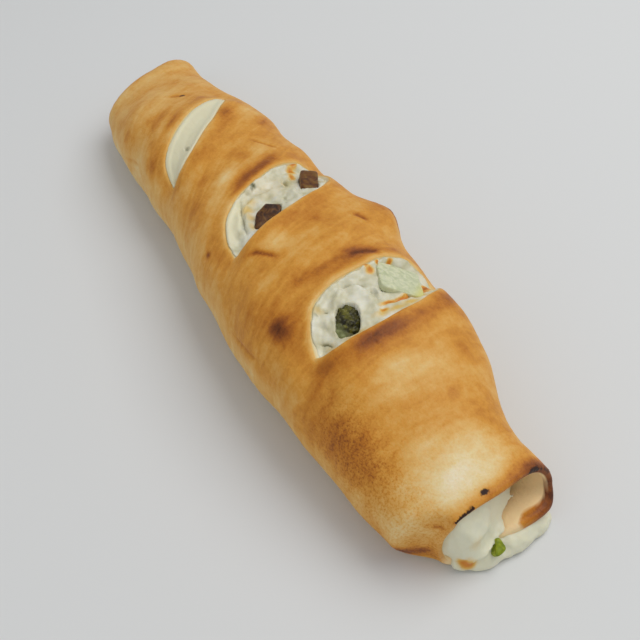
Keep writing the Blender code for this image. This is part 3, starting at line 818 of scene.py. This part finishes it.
def bakedDough():
    # Baked wheat dough, stretched thin, rolled and browned in a dry oven: matt golden skin, brown where it
    # stood proud, cream where it was cut.
    finish = crustFinish
    material, tree, shader = startMaterial("bakedDough", finish["shader"])
    bakeAndShading, char, cut, rim, speckle = readAttributes(tree, ("bakeAndShading", "char", "cut", "rim", "speckle"))
    skin = addNode(tree, "Attribute", attribute_name="skin").outputs["Vector"]
    solid = addNode(tree, "TexCoord").outputs["Object"]
    looks = [finish[name] for name in ("blotch", "mottle", "dots", "pores")]
    blotch, mottle, dots, pores = addNoises(tree, solid, looks)
    stretch = addNode(tree, "Mapping", {"Vector": skin, "Scale": finish["streakScale"]})
    streak = addNode(tree, "TexNoise", {"Vector": stretch, "Scale": 1.0, "Detail": 3.0, "Distortion": 0.6})
    # this level carries browning together with painted shade and painted light
    level = bakeAndShading
    for source, share in ((blotch, "blotchShare"), (streak, "streakShare"), (mottle, "mottleShare")):
        swing = addNode(tree, "Math", {0: source, 1: 0.5}, operation="SUBTRACT")
        level = addNode(tree, "Math", {0: swing, 1: finish[share], 2: level}, operation="MULTIPLY_ADD")
    speck = addNode(tree, "MapRange", {"Value": dots, "From Min": 0.46, "From Max": 0.68})
    shares = {0: speckle, 1: finish["speckShare"], 2: finish["speckEverywhere"]}
    amount = addNode(tree, "Math", shares, operation="MULTIPLY_ADD")
    level = addNode(tree, "Math", {0: speck, 1: amount, 2: level}, operation="MULTIPLY_ADD")
    crust = addNode(tree, "ValToRGB", {"Fac": level}, stops=finish["browning"])
    # cut dough goes from gold to its pale inside, which is tan where the open end let the heat in
    crumb = addNode(tree, "ValToRGB", {"Fac": cut}, stops=finish["crumb"])
    opened = addNode(tree, "MapRange", {"Value": cut, "From Min": 0.05, "From Max": 0.5})
    burnt = addNode(tree, "Math", {0: mottle, 1: 0.9, 2: char}, operation="MULTIPLY_ADD")
    burntEdge = addNode(tree, "MapRange", {"Value": burnt, "From Min": 0.78, "From Max": 0.98})
    tan = addNode(tree, "Mix", {"Factor": rim, "A": crumb, "B": toLinear(finish["tan"])}, data_type="RGBA")
    inside = addNode(tree, "Mix", {"Factor": opened, "A": crust, "B": tan}, data_type="RGBA")
    charred = {"Factor": burntEdge, "A": inside, "B": toLinear(finish["charred"])}
    black = addNode(tree, "Mix", charred, data_type="RGBA")
    tree.links.new(black.outputs["Result"], shader.inputs["Base Color"])
    sheen = {"Value": level, "From Min": 0.1, "From Max": 0.8, "To Min": 0.62, "To Max": 0.42}
    tree.links.new(addNode(tree, "MapRange", sheen).outputs[0], shader.inputs["Roughness"])
    # dusting of flour and fine pores, about 1 mm
    fineBump = addNode(tree, "Bump", {"Height": pores, "Strength": 0.35, "Distance": 0.0004})
    bumps = {"Height": mottle, "Strength": 0.5, "Distance": 0.0005, "Normal": fineBump}
    tree.links.new(addNode(tree, "Bump", bumps).outputs["Normal"], shader.inputs["Normal"])
    return material


doughRoll = makeDough()
addPart(doughRoll, "crust")

# Pieces in the cheese: node, centre, size, turn in degrees, how square, how uneven, corner cut away (its
# direction and distance in half sizes) and colours.
vegetables = {
    "roastedChunkLarge": {
        "node": "brown_piece_a",
        "centre": (0.0072, -0.0067, 0.0416),
        "size": (0.0134, 0.0104, 0.0074),
        "turn": (0, 12, -30),
        "square": 9.0,
        "uneven": 0.00035,
        "cutAway": ((-1, -1), 1.15),
        "colours": ("2a1504", "54300c", "6e4a18"),
    },
    "roastedChunkSmall": {
        "node": "brown_piece_b",
        "centre": (-0.0059, 0.0182, 0.0412),
        "size": (0.0138, 0.0076, 0.006),
        "turn": (-10, -4, -27),
        "square": 7.0,
        "uneven": 0.00025,
        "cutAway": ((0, 0), 1.0),
        "colours": ("4a2806", "6b3f0e", "7a5a1c"),
    },
    "paleGreenSlice": {
        "node": "pale_green_piece",
        "centre": (0.0638, 0.0188, 0.0425),
        "size": (0.0172, 0.0178, 0.0032),
        "turn": (-26, -10, -23),
        "square": 7.0,
        "uneven": 0.0003,
        "cutAway": ((-1, 1), 1.9),
        "edge": ((0.45, 1.0), 0.7, "d2ce80"),
        "colours": ("b9be96", "cacda8", "dbdab8"),
    },
    "greenChip": {
        "node": "green_chip",
        "centre": (0.1578, -0.001, 0.0082),
        "size": (0.0048, 0.005, 0.0034),
        "turn": (0, 36, 15),
        "square": 5.0,
        "uneven": 0.00025,
        "cutAway": ((-1, -1), 0.6),
        "colours": ("68780a", "84900e", "a8b030"),
    },
}
floret = {
    "centre": (0.0738, -0.0088, 0.043),
    "size": (0.0172, 0.0104, 0.008),
    "turn": (0, 12, -30),
    "square": 3.0,
    "edge": ((0.8, -0.6), 0.3, "8a8f60"),
    "snug": 1.12,
    "buds": 110,
    "bud": 0.0008,
    "core": 0.86,  # share of the size that the ball under the buds takes up
    "goldenTurn": 2.39996,  # radians from one bud to the next
    "voxel": 0.0003,
    "colours": ("150f04", "3b3710", "716c24"),
}


def turnMatrix(degrees):
    return Euler([math.radians(d) for d in degrees]).to_matrix()


cheese = {
    "covered": 0.0053,  # depth under the dough
    "fineStep": 0.00052,
    "coarseStep": 0.0036,
    "fineTurn": 0.75,  # degrees
    "farClimb": 0.0022,  # how far it climbs the far edge of a slash, and the near one
    "nearClimb": 0.0008,
    "climbWidth": 0.0016,
    "pocket": 0.003,  # how far it sinks under a piece
    "coreEnd": 0.128,  # where the core stops and the front begins
    "lump": 0.0011,
    "lumpSize": 0.0065,
    "ripple": 0.00035,
    "rippleSize": 0.0024,
    "frontDepth": 0.0054,
    "front": (
        (-180, -0.0005), (-60, 0.001), (-20, 0.003), (0, 0.007), (35, 0.014), (70, 0.016), (115, 0.015),
    ),
    "shift": -0.008,
    "bulge": 0.0115,
    "frontTurn": 3.0,  # degrees
    "frontRows": 26,
    "noseRows": 12,
    "shownFrom": 0.149,  # past here the front is seen, and is lumpy
    "shownFade": 0.003,
    "frontLump": (0.001, 0.007),  # height and size
    "frontRipple": (0.0003, 0.0026),
    "softenings": 18,
    "drop": 0.6,
    "voxel": 0.0007,
}
# Folds in the cheese: points as (mm along, degrees round), width, height (negative for a groove), painted
# shade along the fold.
cheeseFolds = (
    (((14.3, -29.5), (10, -28), (3.3, -25.2), (-4.2, -20.8), (-9.2, -17), (-13.5, -9)), 0.0007, -0.001, 0.5),
    (((10, -26.5), (3.5, -21.5), (-3.2, -16), (-7.2, -8), (-6.7, 1.8), (-7.7, 8)), 0.0016, 0.0013, 0.0),
    (((-13.5, 14), (-10, 13.5), (-6.7, 11.5)), 0.001, -0.0013, 0.7),
    (((-2, 6), (2.5, 4)), 0.0009, -0.0012, 0.6),
    (((-12, -6), (-14, 2), (-15, 10), (-17, 17)), 0.0022, 0.001, 0.0),
    (((-4, 12), (0, 11), (4.5, 12.5)), 0.0015, 0.0014, 0.0),
    (((66.3, -16), (64.8, -9.5), (61.5, -3.5), (62, 2), (66, 6.5)), 0.0016, 0.0016, 0.0),
    (((59, -4), (60.5, 2), (62.5, 5.5), (65, 7)), 0.001, -0.0015, 0.65),
    (((66.8, 0), (70, 3.5), (75.5, 4), (80, 1)), 0.0014, 0.0012, 0.0),
    (((65, 6), (68, 8), (72, 8.5)), 0.0008, -0.0012, 0.5),
    (((75.3, -35), (77.3, -29.8), (80.5, -27)), 0.0005, -0.0011, 0.85),
    (((66.0, -20), (67.5, -17)), 0.0005, -0.0009, 0.7),
    (((68.5, -31), (69.5, -24), (72.5, -20)), 0.0016, 0.001, 0.0),
    (((74.2, 6), (73.8, 14), (73.8, 20), (73.3, 27), (71.8, 36), (67.5, 52)), 0.0007, -0.0013, 0.2),
    (((-53.7, -22), (-50.5, -33), (-47.5, -48), (-46, -54)), 0.0008, 0.0011, 0.0),
    (((-61, -25), (-57.5, -25.5), (-54, -23)), 0.0005, -0.0004, 0.5),
)
# Colour marks: mm along, degrees round, size in mm along and round, amount.
toastSpots = (
    (-1.5, -17.5, 3.0, 3.0, 0.9),
    (-5.5, -12.5, 2.6, 2.8, 0.8),
    (3.0, -18.5, 2.8, 2.0, 0.8),
    (8.8, -21.5, 2.6, 1.4, 0.7),
    (-12.5, 19, 2.4, 1.6, 0.7),
    (-10, 2, 9.0, 14.0, 0.34),
    (-7, 37, 5, 1.6, 0.6),
    (78, 5, 1.8, 4, 0.9),
    (78, 13, 1.6, 6, 1.0),
    (76.8, 24, 1.6, 6, 1.0),
    (73.5, 36, 1.8, 6, 0.9),
    (82, -12, 1.4, 6, 0.7),
    (80, -29, 2.2, 4, 0.5),
    (65, -21, 2.4, 2.2, 0.6),
    (-86, 24, 3, 3, 0.5),
    (-47, -50, 3, 3, 0.5),
)
greaseSpots = (
    (-23.5, 29.5, 3.0, 2.4, 1.15),
    (-19, 26, 2.6, 2.2, 0.95),
    (-14.5, 22.5, 2.4, 1.7, 0.85),
    (-28.5, 45, 2.2, 3.0, 1.0),
    (-10.5, 12.0, 1.6, 1.2, 0.35),
    (57.3, 15.2, 1.4, 1.8, 1.0),
    (55.5, 13.8, 1.0, 1.1, 0.9),
    (54.7, 22, 0.9, 1.1, 1.1),
    (54.7, 31.8, 1.1, 1.3, 1.0),
    (73.9, 13, 0.8, 4.0, 1.25),
    (73.6, 22, 0.7, 5.0, 1.2),
    (72.6, 31, 0.9, 5.0, 1.3),
    (70.4, 41, 1.0, 5.0, 1.35),
    (68.4, 49, 1.3, 3.5, 1.4),
    (76.6, 6.5, 0.9, 1.8, 0.9),
)
greenAndShadeSpots = (
    (-57.0, -24, 2.4, 2.0, 0.62),
    (-13.9, -4.6, 1.2, 1.3, 1.0),
    (-13.0, -6.4, 0.9, 0.8, 0.8),
    (-11.5, -9.5, 2.6, 2.6, 0.42),
    (-7.5, 9.0, 1.5, 1.1, 0.5),
    (5.2, 2.4, 1.8, 1.0, 0.5),
    (66.5, -23.5, 1.2, 0.7, 0.55),
    # olive painted shade where the cheese dips under the pale slice's left edge
    (57.5, 21, 2.2, 1.2, 0.62),
    (67.5, 9.6, 2.4, 1.2, 0.6),
)


def cheeseSurface(at, angle):
    depth = np.full(at.shape, cheese["covered"])
    opened = np.zeros(at.shape)
    flush = np.zeros(at.shape)
    for slash in slashes:
        gap = slashGap(slash, at, angle)
        within = ease((0.0006 - gap) / 0.0006)
        farSide = ease(0.5 - acrossSlash(slash, at, angle) / 0.006)
        climb = cheese["nearClimb"] + (cheese["farClimb"] - cheese["nearClimb"]) * farSide
        hug = climb * bell(gap + 0.0003, cheese["climbWidth"])
        depth += (np.maximum(slash[6] - hug, 0.0004) - cheese["covered"]) * within
        opened = np.maximum(opened, within)
        if slash[6] < 0.002:
            flush = np.maximum(flush, within)
    # the pale cut face on the far side of the second slash rises to its edge
    second = slashes[1]
    gap, along = slashGap(second, at, angle), alongSlash(second, at, angle)
    farSide = ease(-(acrossSlash(second, at, angle) + 0.003) / 0.005)
    flap = farSide * ease(0.4 - gap / 0.001) * ease((0.0072 + gap) / 0.0015) * ease((-0.004 - along) / 0.01)
    depth -= 0.0014 * flap
    return depth, opened, flush, flap


def pocketUnder(points):  # 1 where the cheese lies under a piece
    under = np.zeros(points.shape[:-1])
    for look in list(vegetables.values()) + [floret]:
        half = np.array(look["size"]) / 2
        local = (points - np.array(look["centre"])) @ np.array(turnMatrix(look["turn"])) / half
        power = look["square"]
        reach = (np.abs(local[..., 0]) ** power + np.abs(local[..., 1]) ** power) ** (1 / power)
        reach = reach * look.get("snug", 1.0)
        if "cutAway" in look:
            (x, y), limit = look["cutAway"]
            reach = np.maximum(reach, (local[..., 0] * x + local[..., 1] * y) / limit)
        near = np.abs(local[..., 2]) < 3
        under = np.maximum(under, near * ease((1.0 - reach) / 0.1))
    return under


def makeCheeseCore():
    places = [cheese["coreEnd"]]
    while places[-1] > roll["sealedEnd"] + 0.004:
        beside = any(-max(s[4]) - 0.004 < places[-1] - s[0] < max(s[5]) + 0.005 for s in slashes)
        places.append(places[-1] - (cheese["fineStep"] if beside else cheese["coarseStep"]))
    angles = np.radians(np.concatenate([np.arange(-66, 84, cheese["fineTurn"]), np.arange(84, 294, 6.0)]))
    at, angle = np.meshgrid(np.array(places), angles, indexing="ij")
    angle = np.where(angle > math.pi, angle - 2 * math.pi, angle)
    at = leaned(at, angle)
    depth, opened, flush, flap = cheeseSurface(at, angle)
    flat = crustPoint(at, np.zeros(at.shape), angle, depth)
    under = pocketUnder(flat) * opened
    lumps = np.zeros(at.shape)
    seen = opened > 0.02
    calm = (1 - 0.85 * flush[seen]) * (1 - 0.8 * flap[seen])
    lump = cheese["lump"] * fractal(flat[seen], cheese["lumpSize"], 2, 3.0)
    lumps[seen] = calm * (lump + cheese["ripple"] * fractal(flat[seen], cheese["rippleSize"], 3, 7.0))
    foldShade = np.zeros(at.shape)
    for points, width, height, shade in cheeseFolds:
        field = creaseField(points, width, at, angle)
        lumps += height * field * opened
        foldShade = np.maximum(foldShade, shade * field)
    depth = np.maximum(depth - lumps * opened, 0.0003) + cheese["pocket"] * under
    points = crustPoint(at, np.zeros(at.shape), angle, depth)
    ends = np.stack([points[0].mean(0), points[-1].mean(0) - np.array([0.004, 0, 0])])

    def marks(rowsOf):
        field = np.zeros(at.shape)
        for x, a, long, wide, amount in rowsOf:
            field = np.maximum(field, amount * spot(at, angle, x, a, long, wide))
        return np.concatenate([field.ravel(), [0, 0]])

    pad = np.zeros(2)
    attributes = {
        "toast": marks(toastSpots),
        "grease": marks(greaseSpots),
        "greenAndShade": marks(greenAndShadeSpots),
        "foldShade": np.concatenate([foldShade.ravel(), pad]),
        "flush": np.concatenate([np.maximum(flush, flap).ravel(), pad]),
        "cool": np.zeros(at.size + 2),
    }
    allPoints = np.concatenate([points.reshape(-1, 3), ends])
    return addMesh("cheeseCore", allPoints, tubeFaces(at.shape), melted, attributes)


# Mottling about 6 mm across and grain about 1.6 mm. Marks: attribute, colour, where it starts and is full.
cheeseFinish = {
    "cloud": (160.0, 3.0, 0.5),
    "fine": (620.0, 4.0, 0.6),
    "whites": ((0.3, "c0ba94"), (0.5, "d8d3b8"), (0.7, "e8e5d4")),
    "creamed": "e3dcba",
    "cooled": "e0ddc2",
    "marks": (
        ("toast", "d9b458", 0.32, 1.15),
        # green bits, and olive painted shade beside the pale slice
        ("greenAndShade", "454a1c", 0.46, 1.05),
        # painted shade in the grooves of the cheese folds
        ("foldShade", "7c7548", 0.44, 1.05),
        ("grease", "e0b248", 0.28, 0.66),
        ("grease", "d07c10", 0.6, 1.00),
        ("grease", "8f4d0a", 1.22, 1.62),
    ),
    "ragged": 0.35,  # how much the grain breaks up the edge of a mark
    "shader": {
        "IOR": 1.44,
        "Subsurface Weight": 0.25,
        "Subsurface Radius": (1.0, 0.8, 0.55),
        "Subsurface Scale": 0.0012,
    },
}


def meltedCheese():
    # Melted mozzarella, set as it cooled: off-white, slightly see-through, satin, with toasted specks and
    # orange oil where it stood in the heat.
    finish = cheeseFinish
    material, tree, shader = startMaterial("meltedCheese", finish["shader"])
    names = ("toast", "grease", "greenAndShade", "foldShade", "flush", "cool")
    read = dict(zip(names, readAttributes(tree, names)))
    solid = addNode(tree, "TexCoord").outputs["Object"]
    cloud, fine = addNoises(tree, solid, (finish["cloud"], finish["fine"]))
    shade = addNode(tree, "ValToRGB", {"Fac": cloud}, stops=finish["whites"])
    for name, key in (("flush", "creamed"), ("cool", "cooled")):
        blend = {"Factor": read[name], "A": shade, "B": toLinear(finish[key])}
        shade = addNode(tree, "Mix", blend, data_type="RGBA")
    for name, hexColour, low, high in finish["marks"]:
        edge = addNode(tree, "Math", {0: fine, 1: finish["ragged"], 2: read[name]}, operation="MULTIPLY_ADD")
        mask = addNode(tree, "MapRange", {"Value": edge, "From Min": low, "From Max": high, "To Max": 0.95})
        blend = {"Factor": mask, "A": shade, "B": toLinear(hexColour)}
        shade = addNode(tree, "Mix", blend, data_type="RGBA")
    tree.links.new(shade.outputs["Result"], shader.inputs["Base Color"])
    bump = addNode(tree, "Bump", {"Height": fine, "Strength": 0.3, "Distance": 0.0004})
    tree.links.new(bump.outputs["Normal"], shader.inputs["Normal"])
    sheen = {"Value": fine, "From Min": 0.3, "From Max": 0.7, "To Min": 0.3, "To Max": 0.48}
    tree.links.new(addNode(tree, "MapRange", sheen).outputs[0], shader.inputs["Roughness"])
    return material


# Cheese run out of the open end: centre and half sizes of the lumps that it flows from.
frontLumps = (
    ((0.1483, -0.005, 0.007), (0.0085, 0.011, 0.006)),
    ((0.1535, 0.0048, 0.0022), (0.007, 0.0208, 0.006)),
    ((0.1548, -0.011, 0.0042), (0.0032, 0.003, 0.0028)),
)
# Marks on it: kind, amount, place and size. An orange drop of oil, a small one, and a toasted tint.
frontMarks = (
    ("grease", 2.0, (0.1549, -0.0108, 0.0054), (0.0028, 0.0024, 0.0032)),
    ("grease", 1.6, (0.1526, -0.0042, 0.0262), 0.0013),
    ("toast", 0.6, (0.1585, -0.0085, 0.015), 0.0036),
)


def makeCheeseFront():
    angles = np.radians(np.arange(-180, 180, cheese["frontTurn"]))
    places = np.linspace(roll["mouth"], cheese["coreEnd"] + 0.0003, cheese["frontRows"])
    at, angle = np.meshgrid(places, angles, indexing="ij")
    skinPoints = crustPoint(at, np.zeros(at.shape), angle, np.full(at.shape, cheese["frontDepth"]))
    fade = lip["reachFade"]
    skinPoints[..., 0] -= smoothRing(angle, cheese["front"]) * ease((at - roll["mouth"] + fade) / fade)
    ring = skinPoints[0]
    centre = ring.mean(axis=0) * np.array([1, 1, cheese["drop"]])
    centre[1] += cheese["shift"]
    grid = []
    for share in np.linspace(0.06, 0.94, cheese["noseRows"]):
        row = centre + (ring - centre) * share
        row[:, 0] += cheese["bulge"] * (1 - share**2)
        grid.append(row)
    points = np.concatenate([np.stack(grid), skinPoints])
    nose = centre + np.array([cheese["bulge"], 0, 0])
    allPoints = np.concatenate([points.reshape(-1, 3), [nose, points[-1].mean(0)]])
    made = addMesh("cheeseFront", allPoints, tubeFaces(points.shape[:2]), melted)
    shape = bmesh.new()
    shape.from_mesh(made.data)
    for lumpCentre, half in frontLumps:
        move = Matrix.Translation(Vector(lumpCentre)) @ Matrix.Diagonal((*half, 1.0))
        ball = bmesh.ops.create_uvsphere(shape, u_segments=48, v_segments=24, radius=1.0, matrix=move)
        for vertex in ball["verts"]:
            vertex.co.z = max(vertex.co.z, 0.0001)
    shape.to_mesh(made.data)
    shape.free()
    melt = made.modifiers.new("melt", "REMESH")
    melt.mode = "VOXEL"
    melt.voxel_size = cheese["voxel"]
    soften = made.modifiers.new("soften", "SMOOTH")
    soften.factor = 0.5
    soften.iterations = cheese["softenings"]
    applyModifiers(made)
    mesh = made.data
    mesh.shade_smooth()
    count = len(mesh.vertices)
    co, normal = np.zeros(count * 3), np.zeros(count * 3)
    mesh.vertices.foreach_get("co", co)
    mesh.vertex_normals.foreach_get("vector", normal)
    co, normal = co.reshape(-1, 3), normal.reshape(-1, 3)
    shown = ease((co[:, 0] - cheese["shownFrom"]) / cheese["shownFade"])[:, None]
    (high, wide), (fineHigh, fineWide) = cheese["frontLump"], cheese["frontRipple"]
    ripple = high * fractal(co, wide, 2, 2.0) + fineHigh * fractal(co, fineWide, 2, 9.0)
    co = co + normal * shown * ripple[:, None]
    co[:, 2] = np.maximum(co[:, 2], 0.0)
    mesh.vertices.foreach_set("co", co.ravel())
    none = np.zeros(count)
    marks = {"grease": none, "toast": none}
    for kind, amount, place, size in frontMarks:
        away = np.linalg.norm((co - np.array(place)) / np.array(size), axis=1)
        marks[kind] = marks[kind] + amount * np.exp(-(away**2))
    marks.update({"greenAndShade": none, "foldShade": none, "flush": none, "cool": none + 1})
    for key, values in marks.items():
        layer = mesh.attributes.new(key, "FLOAT", "POINT")
        layer.data.foreach_set("value", values.astype(np.float32))
    return made


melted = meltedCheese()
cheeseCore = makeCheeseCore()
addPart(cheeseCore, "cheese")
cheeseFront = makeCheeseFront()
addPart(cheeseFront, "cheese")


vegetableFinish = {
    "fibre": {"Scale": 420.0, "Detail": 4.0, "Distortion": 0.8},  # fibres about 2.5 mm
    "stops": (0.32, 0.5, 0.68),
    "shader": {
        "Roughness": 0.42,
        "IOR": 1.4,
        "Subsurface Weight": 0.15,
        "Subsurface Radius": (0.8, 0.9, 0.4),
        "Subsurface Scale": 0.002,
    },
}


def cookedVegetable(name, colours, edgeColour):
    # Cooked vegetable, cut and softened by the heat: uneven colour along its fibres, moist satin skin.
    material, tree, shader = startMaterial(name, vegetableFinish["shader"])
    solid = addNode(tree, "TexCoord").outputs["Object"]
    fibre = addNode(tree, "TexNoise", {"Vector": solid, **vegetableFinish["fibre"]})
    ramp = addNode(tree, "ValToRGB", {"Fac": fibre}, stops=tuple(zip(vegetableFinish["stops"], colours)))
    (pale,) = readAttributes(tree, ("edge",))
    edged = addNode(tree, "Mix", {"Factor": pale, "A": ramp, "B": toLinear(edgeColour)}, data_type="RGBA")
    tree.links.new(edged.outputs["Result"], shader.inputs["Base Color"])
    bump = addNode(tree, "Bump", {"Height": fibre, "Strength": 0.5, "Distance": 0.0005})
    tree.links.new(bump.outputs["Normal"], shader.inputs["Normal"])
    return material


def finishVegetable(made, look):  # one side may have another colour
    (alongX, alongY), start, edgeColour = look.get("edge", ((0, 0), 1.0, "ffffff"))
    made.data.materials.append(cookedVegetable(made.name, look["colours"], edgeColour))
    back, half = turnMatrix(look["turn"]).transposed(), Vector(look["size"]) / 2
    layer = made.data.attributes.new("edge", "FLOAT", "POINT")
    for number, vertex in enumerate(made.data.vertices):
        local = back @ (vertex.co - Vector(look["centre"]))
        reach = local.x / half.x * alongX + local.y / half.y * alongY
        layer.data[number].value = float(ease((reach - start) / 0.5))
    return made


def makeVegetable(name, look):
    shape = bmesh.new()
    bmesh.ops.create_cube(shape, size=2.0)
    bmesh.ops.subdivide_edges(shape, edges=shape.edges[:], cuts=15, use_grid_fill=True)
    rotation = turnMatrix(look["turn"])
    half, power = Vector(look["size"]) / 2, look["square"]
    (cutX, cutY), limit = look["cutAway"]
    for vertex in shape.verts:
        corner = vertex.co
        corner /= sum(abs(c) ** power for c in corner) ** (1 / power)
        over = (corner.x * cutX + corner.y * cutY - limit) / 2
        if over > 0:
            corner.x -= over * cutX
            corner.y -= over * cutY
        point = Vector(look["centre"]) + rotation @ (half * corner)
        rough = noise.fractal(point / 0.0035, 1.0, 2.0, 3)
        vertex.co = point + rotation @ corner.normalized() * look["uneven"] * rough
    made = placeShape(name, shape)
    made.data.shade_smooth()
    return finishVegetable(made, look)


for name, look in vegetables.items():
    addPart(makeVegetable(name, look), look["node"])


def makeFloret():
    shape = bmesh.new()
    rotation = turnMatrix(floret["turn"])
    half = Vector(floret["size"]) / 2
    core = Matrix.Diagonal((*(half * floret["core"]), 1.0))
    core = Matrix.Translation(Vector(floret["centre"])) @ rotation.to_4x4() @ core
    bmesh.ops.create_icosphere(shape, subdivisions=4, radius=1.0, matrix=core)
    for number in range(floret["buds"]):  # spread evenly over the ball
        up = 1 - 2 * (number + 0.5) / floret["buds"]
        around = number * floret["goldenTurn"]
        level = math.sqrt(1 - up * up)
        out = Vector((level * math.cos(around), level * math.sin(around), up))
        at = Vector(floret["centre"]) + rotation @ (half * out * floret["core"])
        size = floret["bud"] * (1 + 0.35 * math.sin(number * 2.7))
        bmesh.ops.create_icosphere(shape, subdivisions=2, radius=size, matrix=Matrix.Translation(at))
    made = placeShape("greenFloret", shape)
    join = made.modifiers.new("join", "REMESH")
    join.mode = "VOXEL"
    join.voxel_size = floret["voxel"]
    applyModifiers(made)
    made.data.shade_smooth()
    return finishVegetable(made, floret)


addPart(makeFloret(), "dark_green_piece")

studio = {
    "floor": "dddddb",
    "floorLevel": -0.0002,  # just under the part
    "sky": (0.93, 0.96, 1.0, 1.0),
    "lens": 56.25,
    "world": 0.45,
    "key": 10.6,
    "keyFrom": (0.15, 0.72, 1.2),
    "keySize": 1.1,
    "fill": 2.0,
    "fillFrom": (0.6, -0.9, 0.6),
    "fillSize": 1.2,
}


def areaLight(name, power, fromPoint, size):
    data = bpy.data.lights.new(name, "AREA")
    data.energy = power
    data.size = size
    light = placeObject(name, data)
    light.location = fromPoint
    light.rotation_euler = (-Vector(fromPoint)).to_track_quat("-Z", "Y").to_euler()


def makeStudio():
    shape = bmesh.new()
    bmesh.ops.create_grid(shape, x_segments=1, y_segments=1, size=3.0)
    floor = placeShape("floor", shape)
    finish = {"Base Color": toLinear(studio["floor"]), "Roughness": 0.9}
    floor.data.materials.append(startMaterial("paleFloor", finish)[0])
    floor.location.z = studio["floorLevel"]
    areaLight("key", studio["key"], studio["keyFrom"], studio["keySize"])
    areaLight("fill", studio["fill"], studio["fillFrom"], studio["fillSize"])
    world = bpy.data.worlds.new("studio")
    world.use_nodes = True
    background = world.node_tree.nodes["Background"]
    background.inputs["Color"].default_value = studio["sky"]
    background.inputs["Strength"].default_value = studio["world"]
    bpy.context.scene.world = world
    bpy.context.scene.view_settings.view_transform = "Standard"
    camera = placeObject("camera", bpy.data.cameras.new("camera"))
    camera.data.lens = studio["lens"]
    camera.data.sensor_width = 36.0
    camera.data.clip_start = 0.01
    camera.matrix_world = Matrix(
        (
            (0.48038, -0.61868, 0.62167, 0.2886),
            (0.87626, 0.36891, -0.30997, -0.1267),
            (-0.03757, 0.69365, 0.71934, 0.3),
            (0, 0, 0, 1),
        )
    )
    bpy.context.scene.camera = camera


makeStudio()
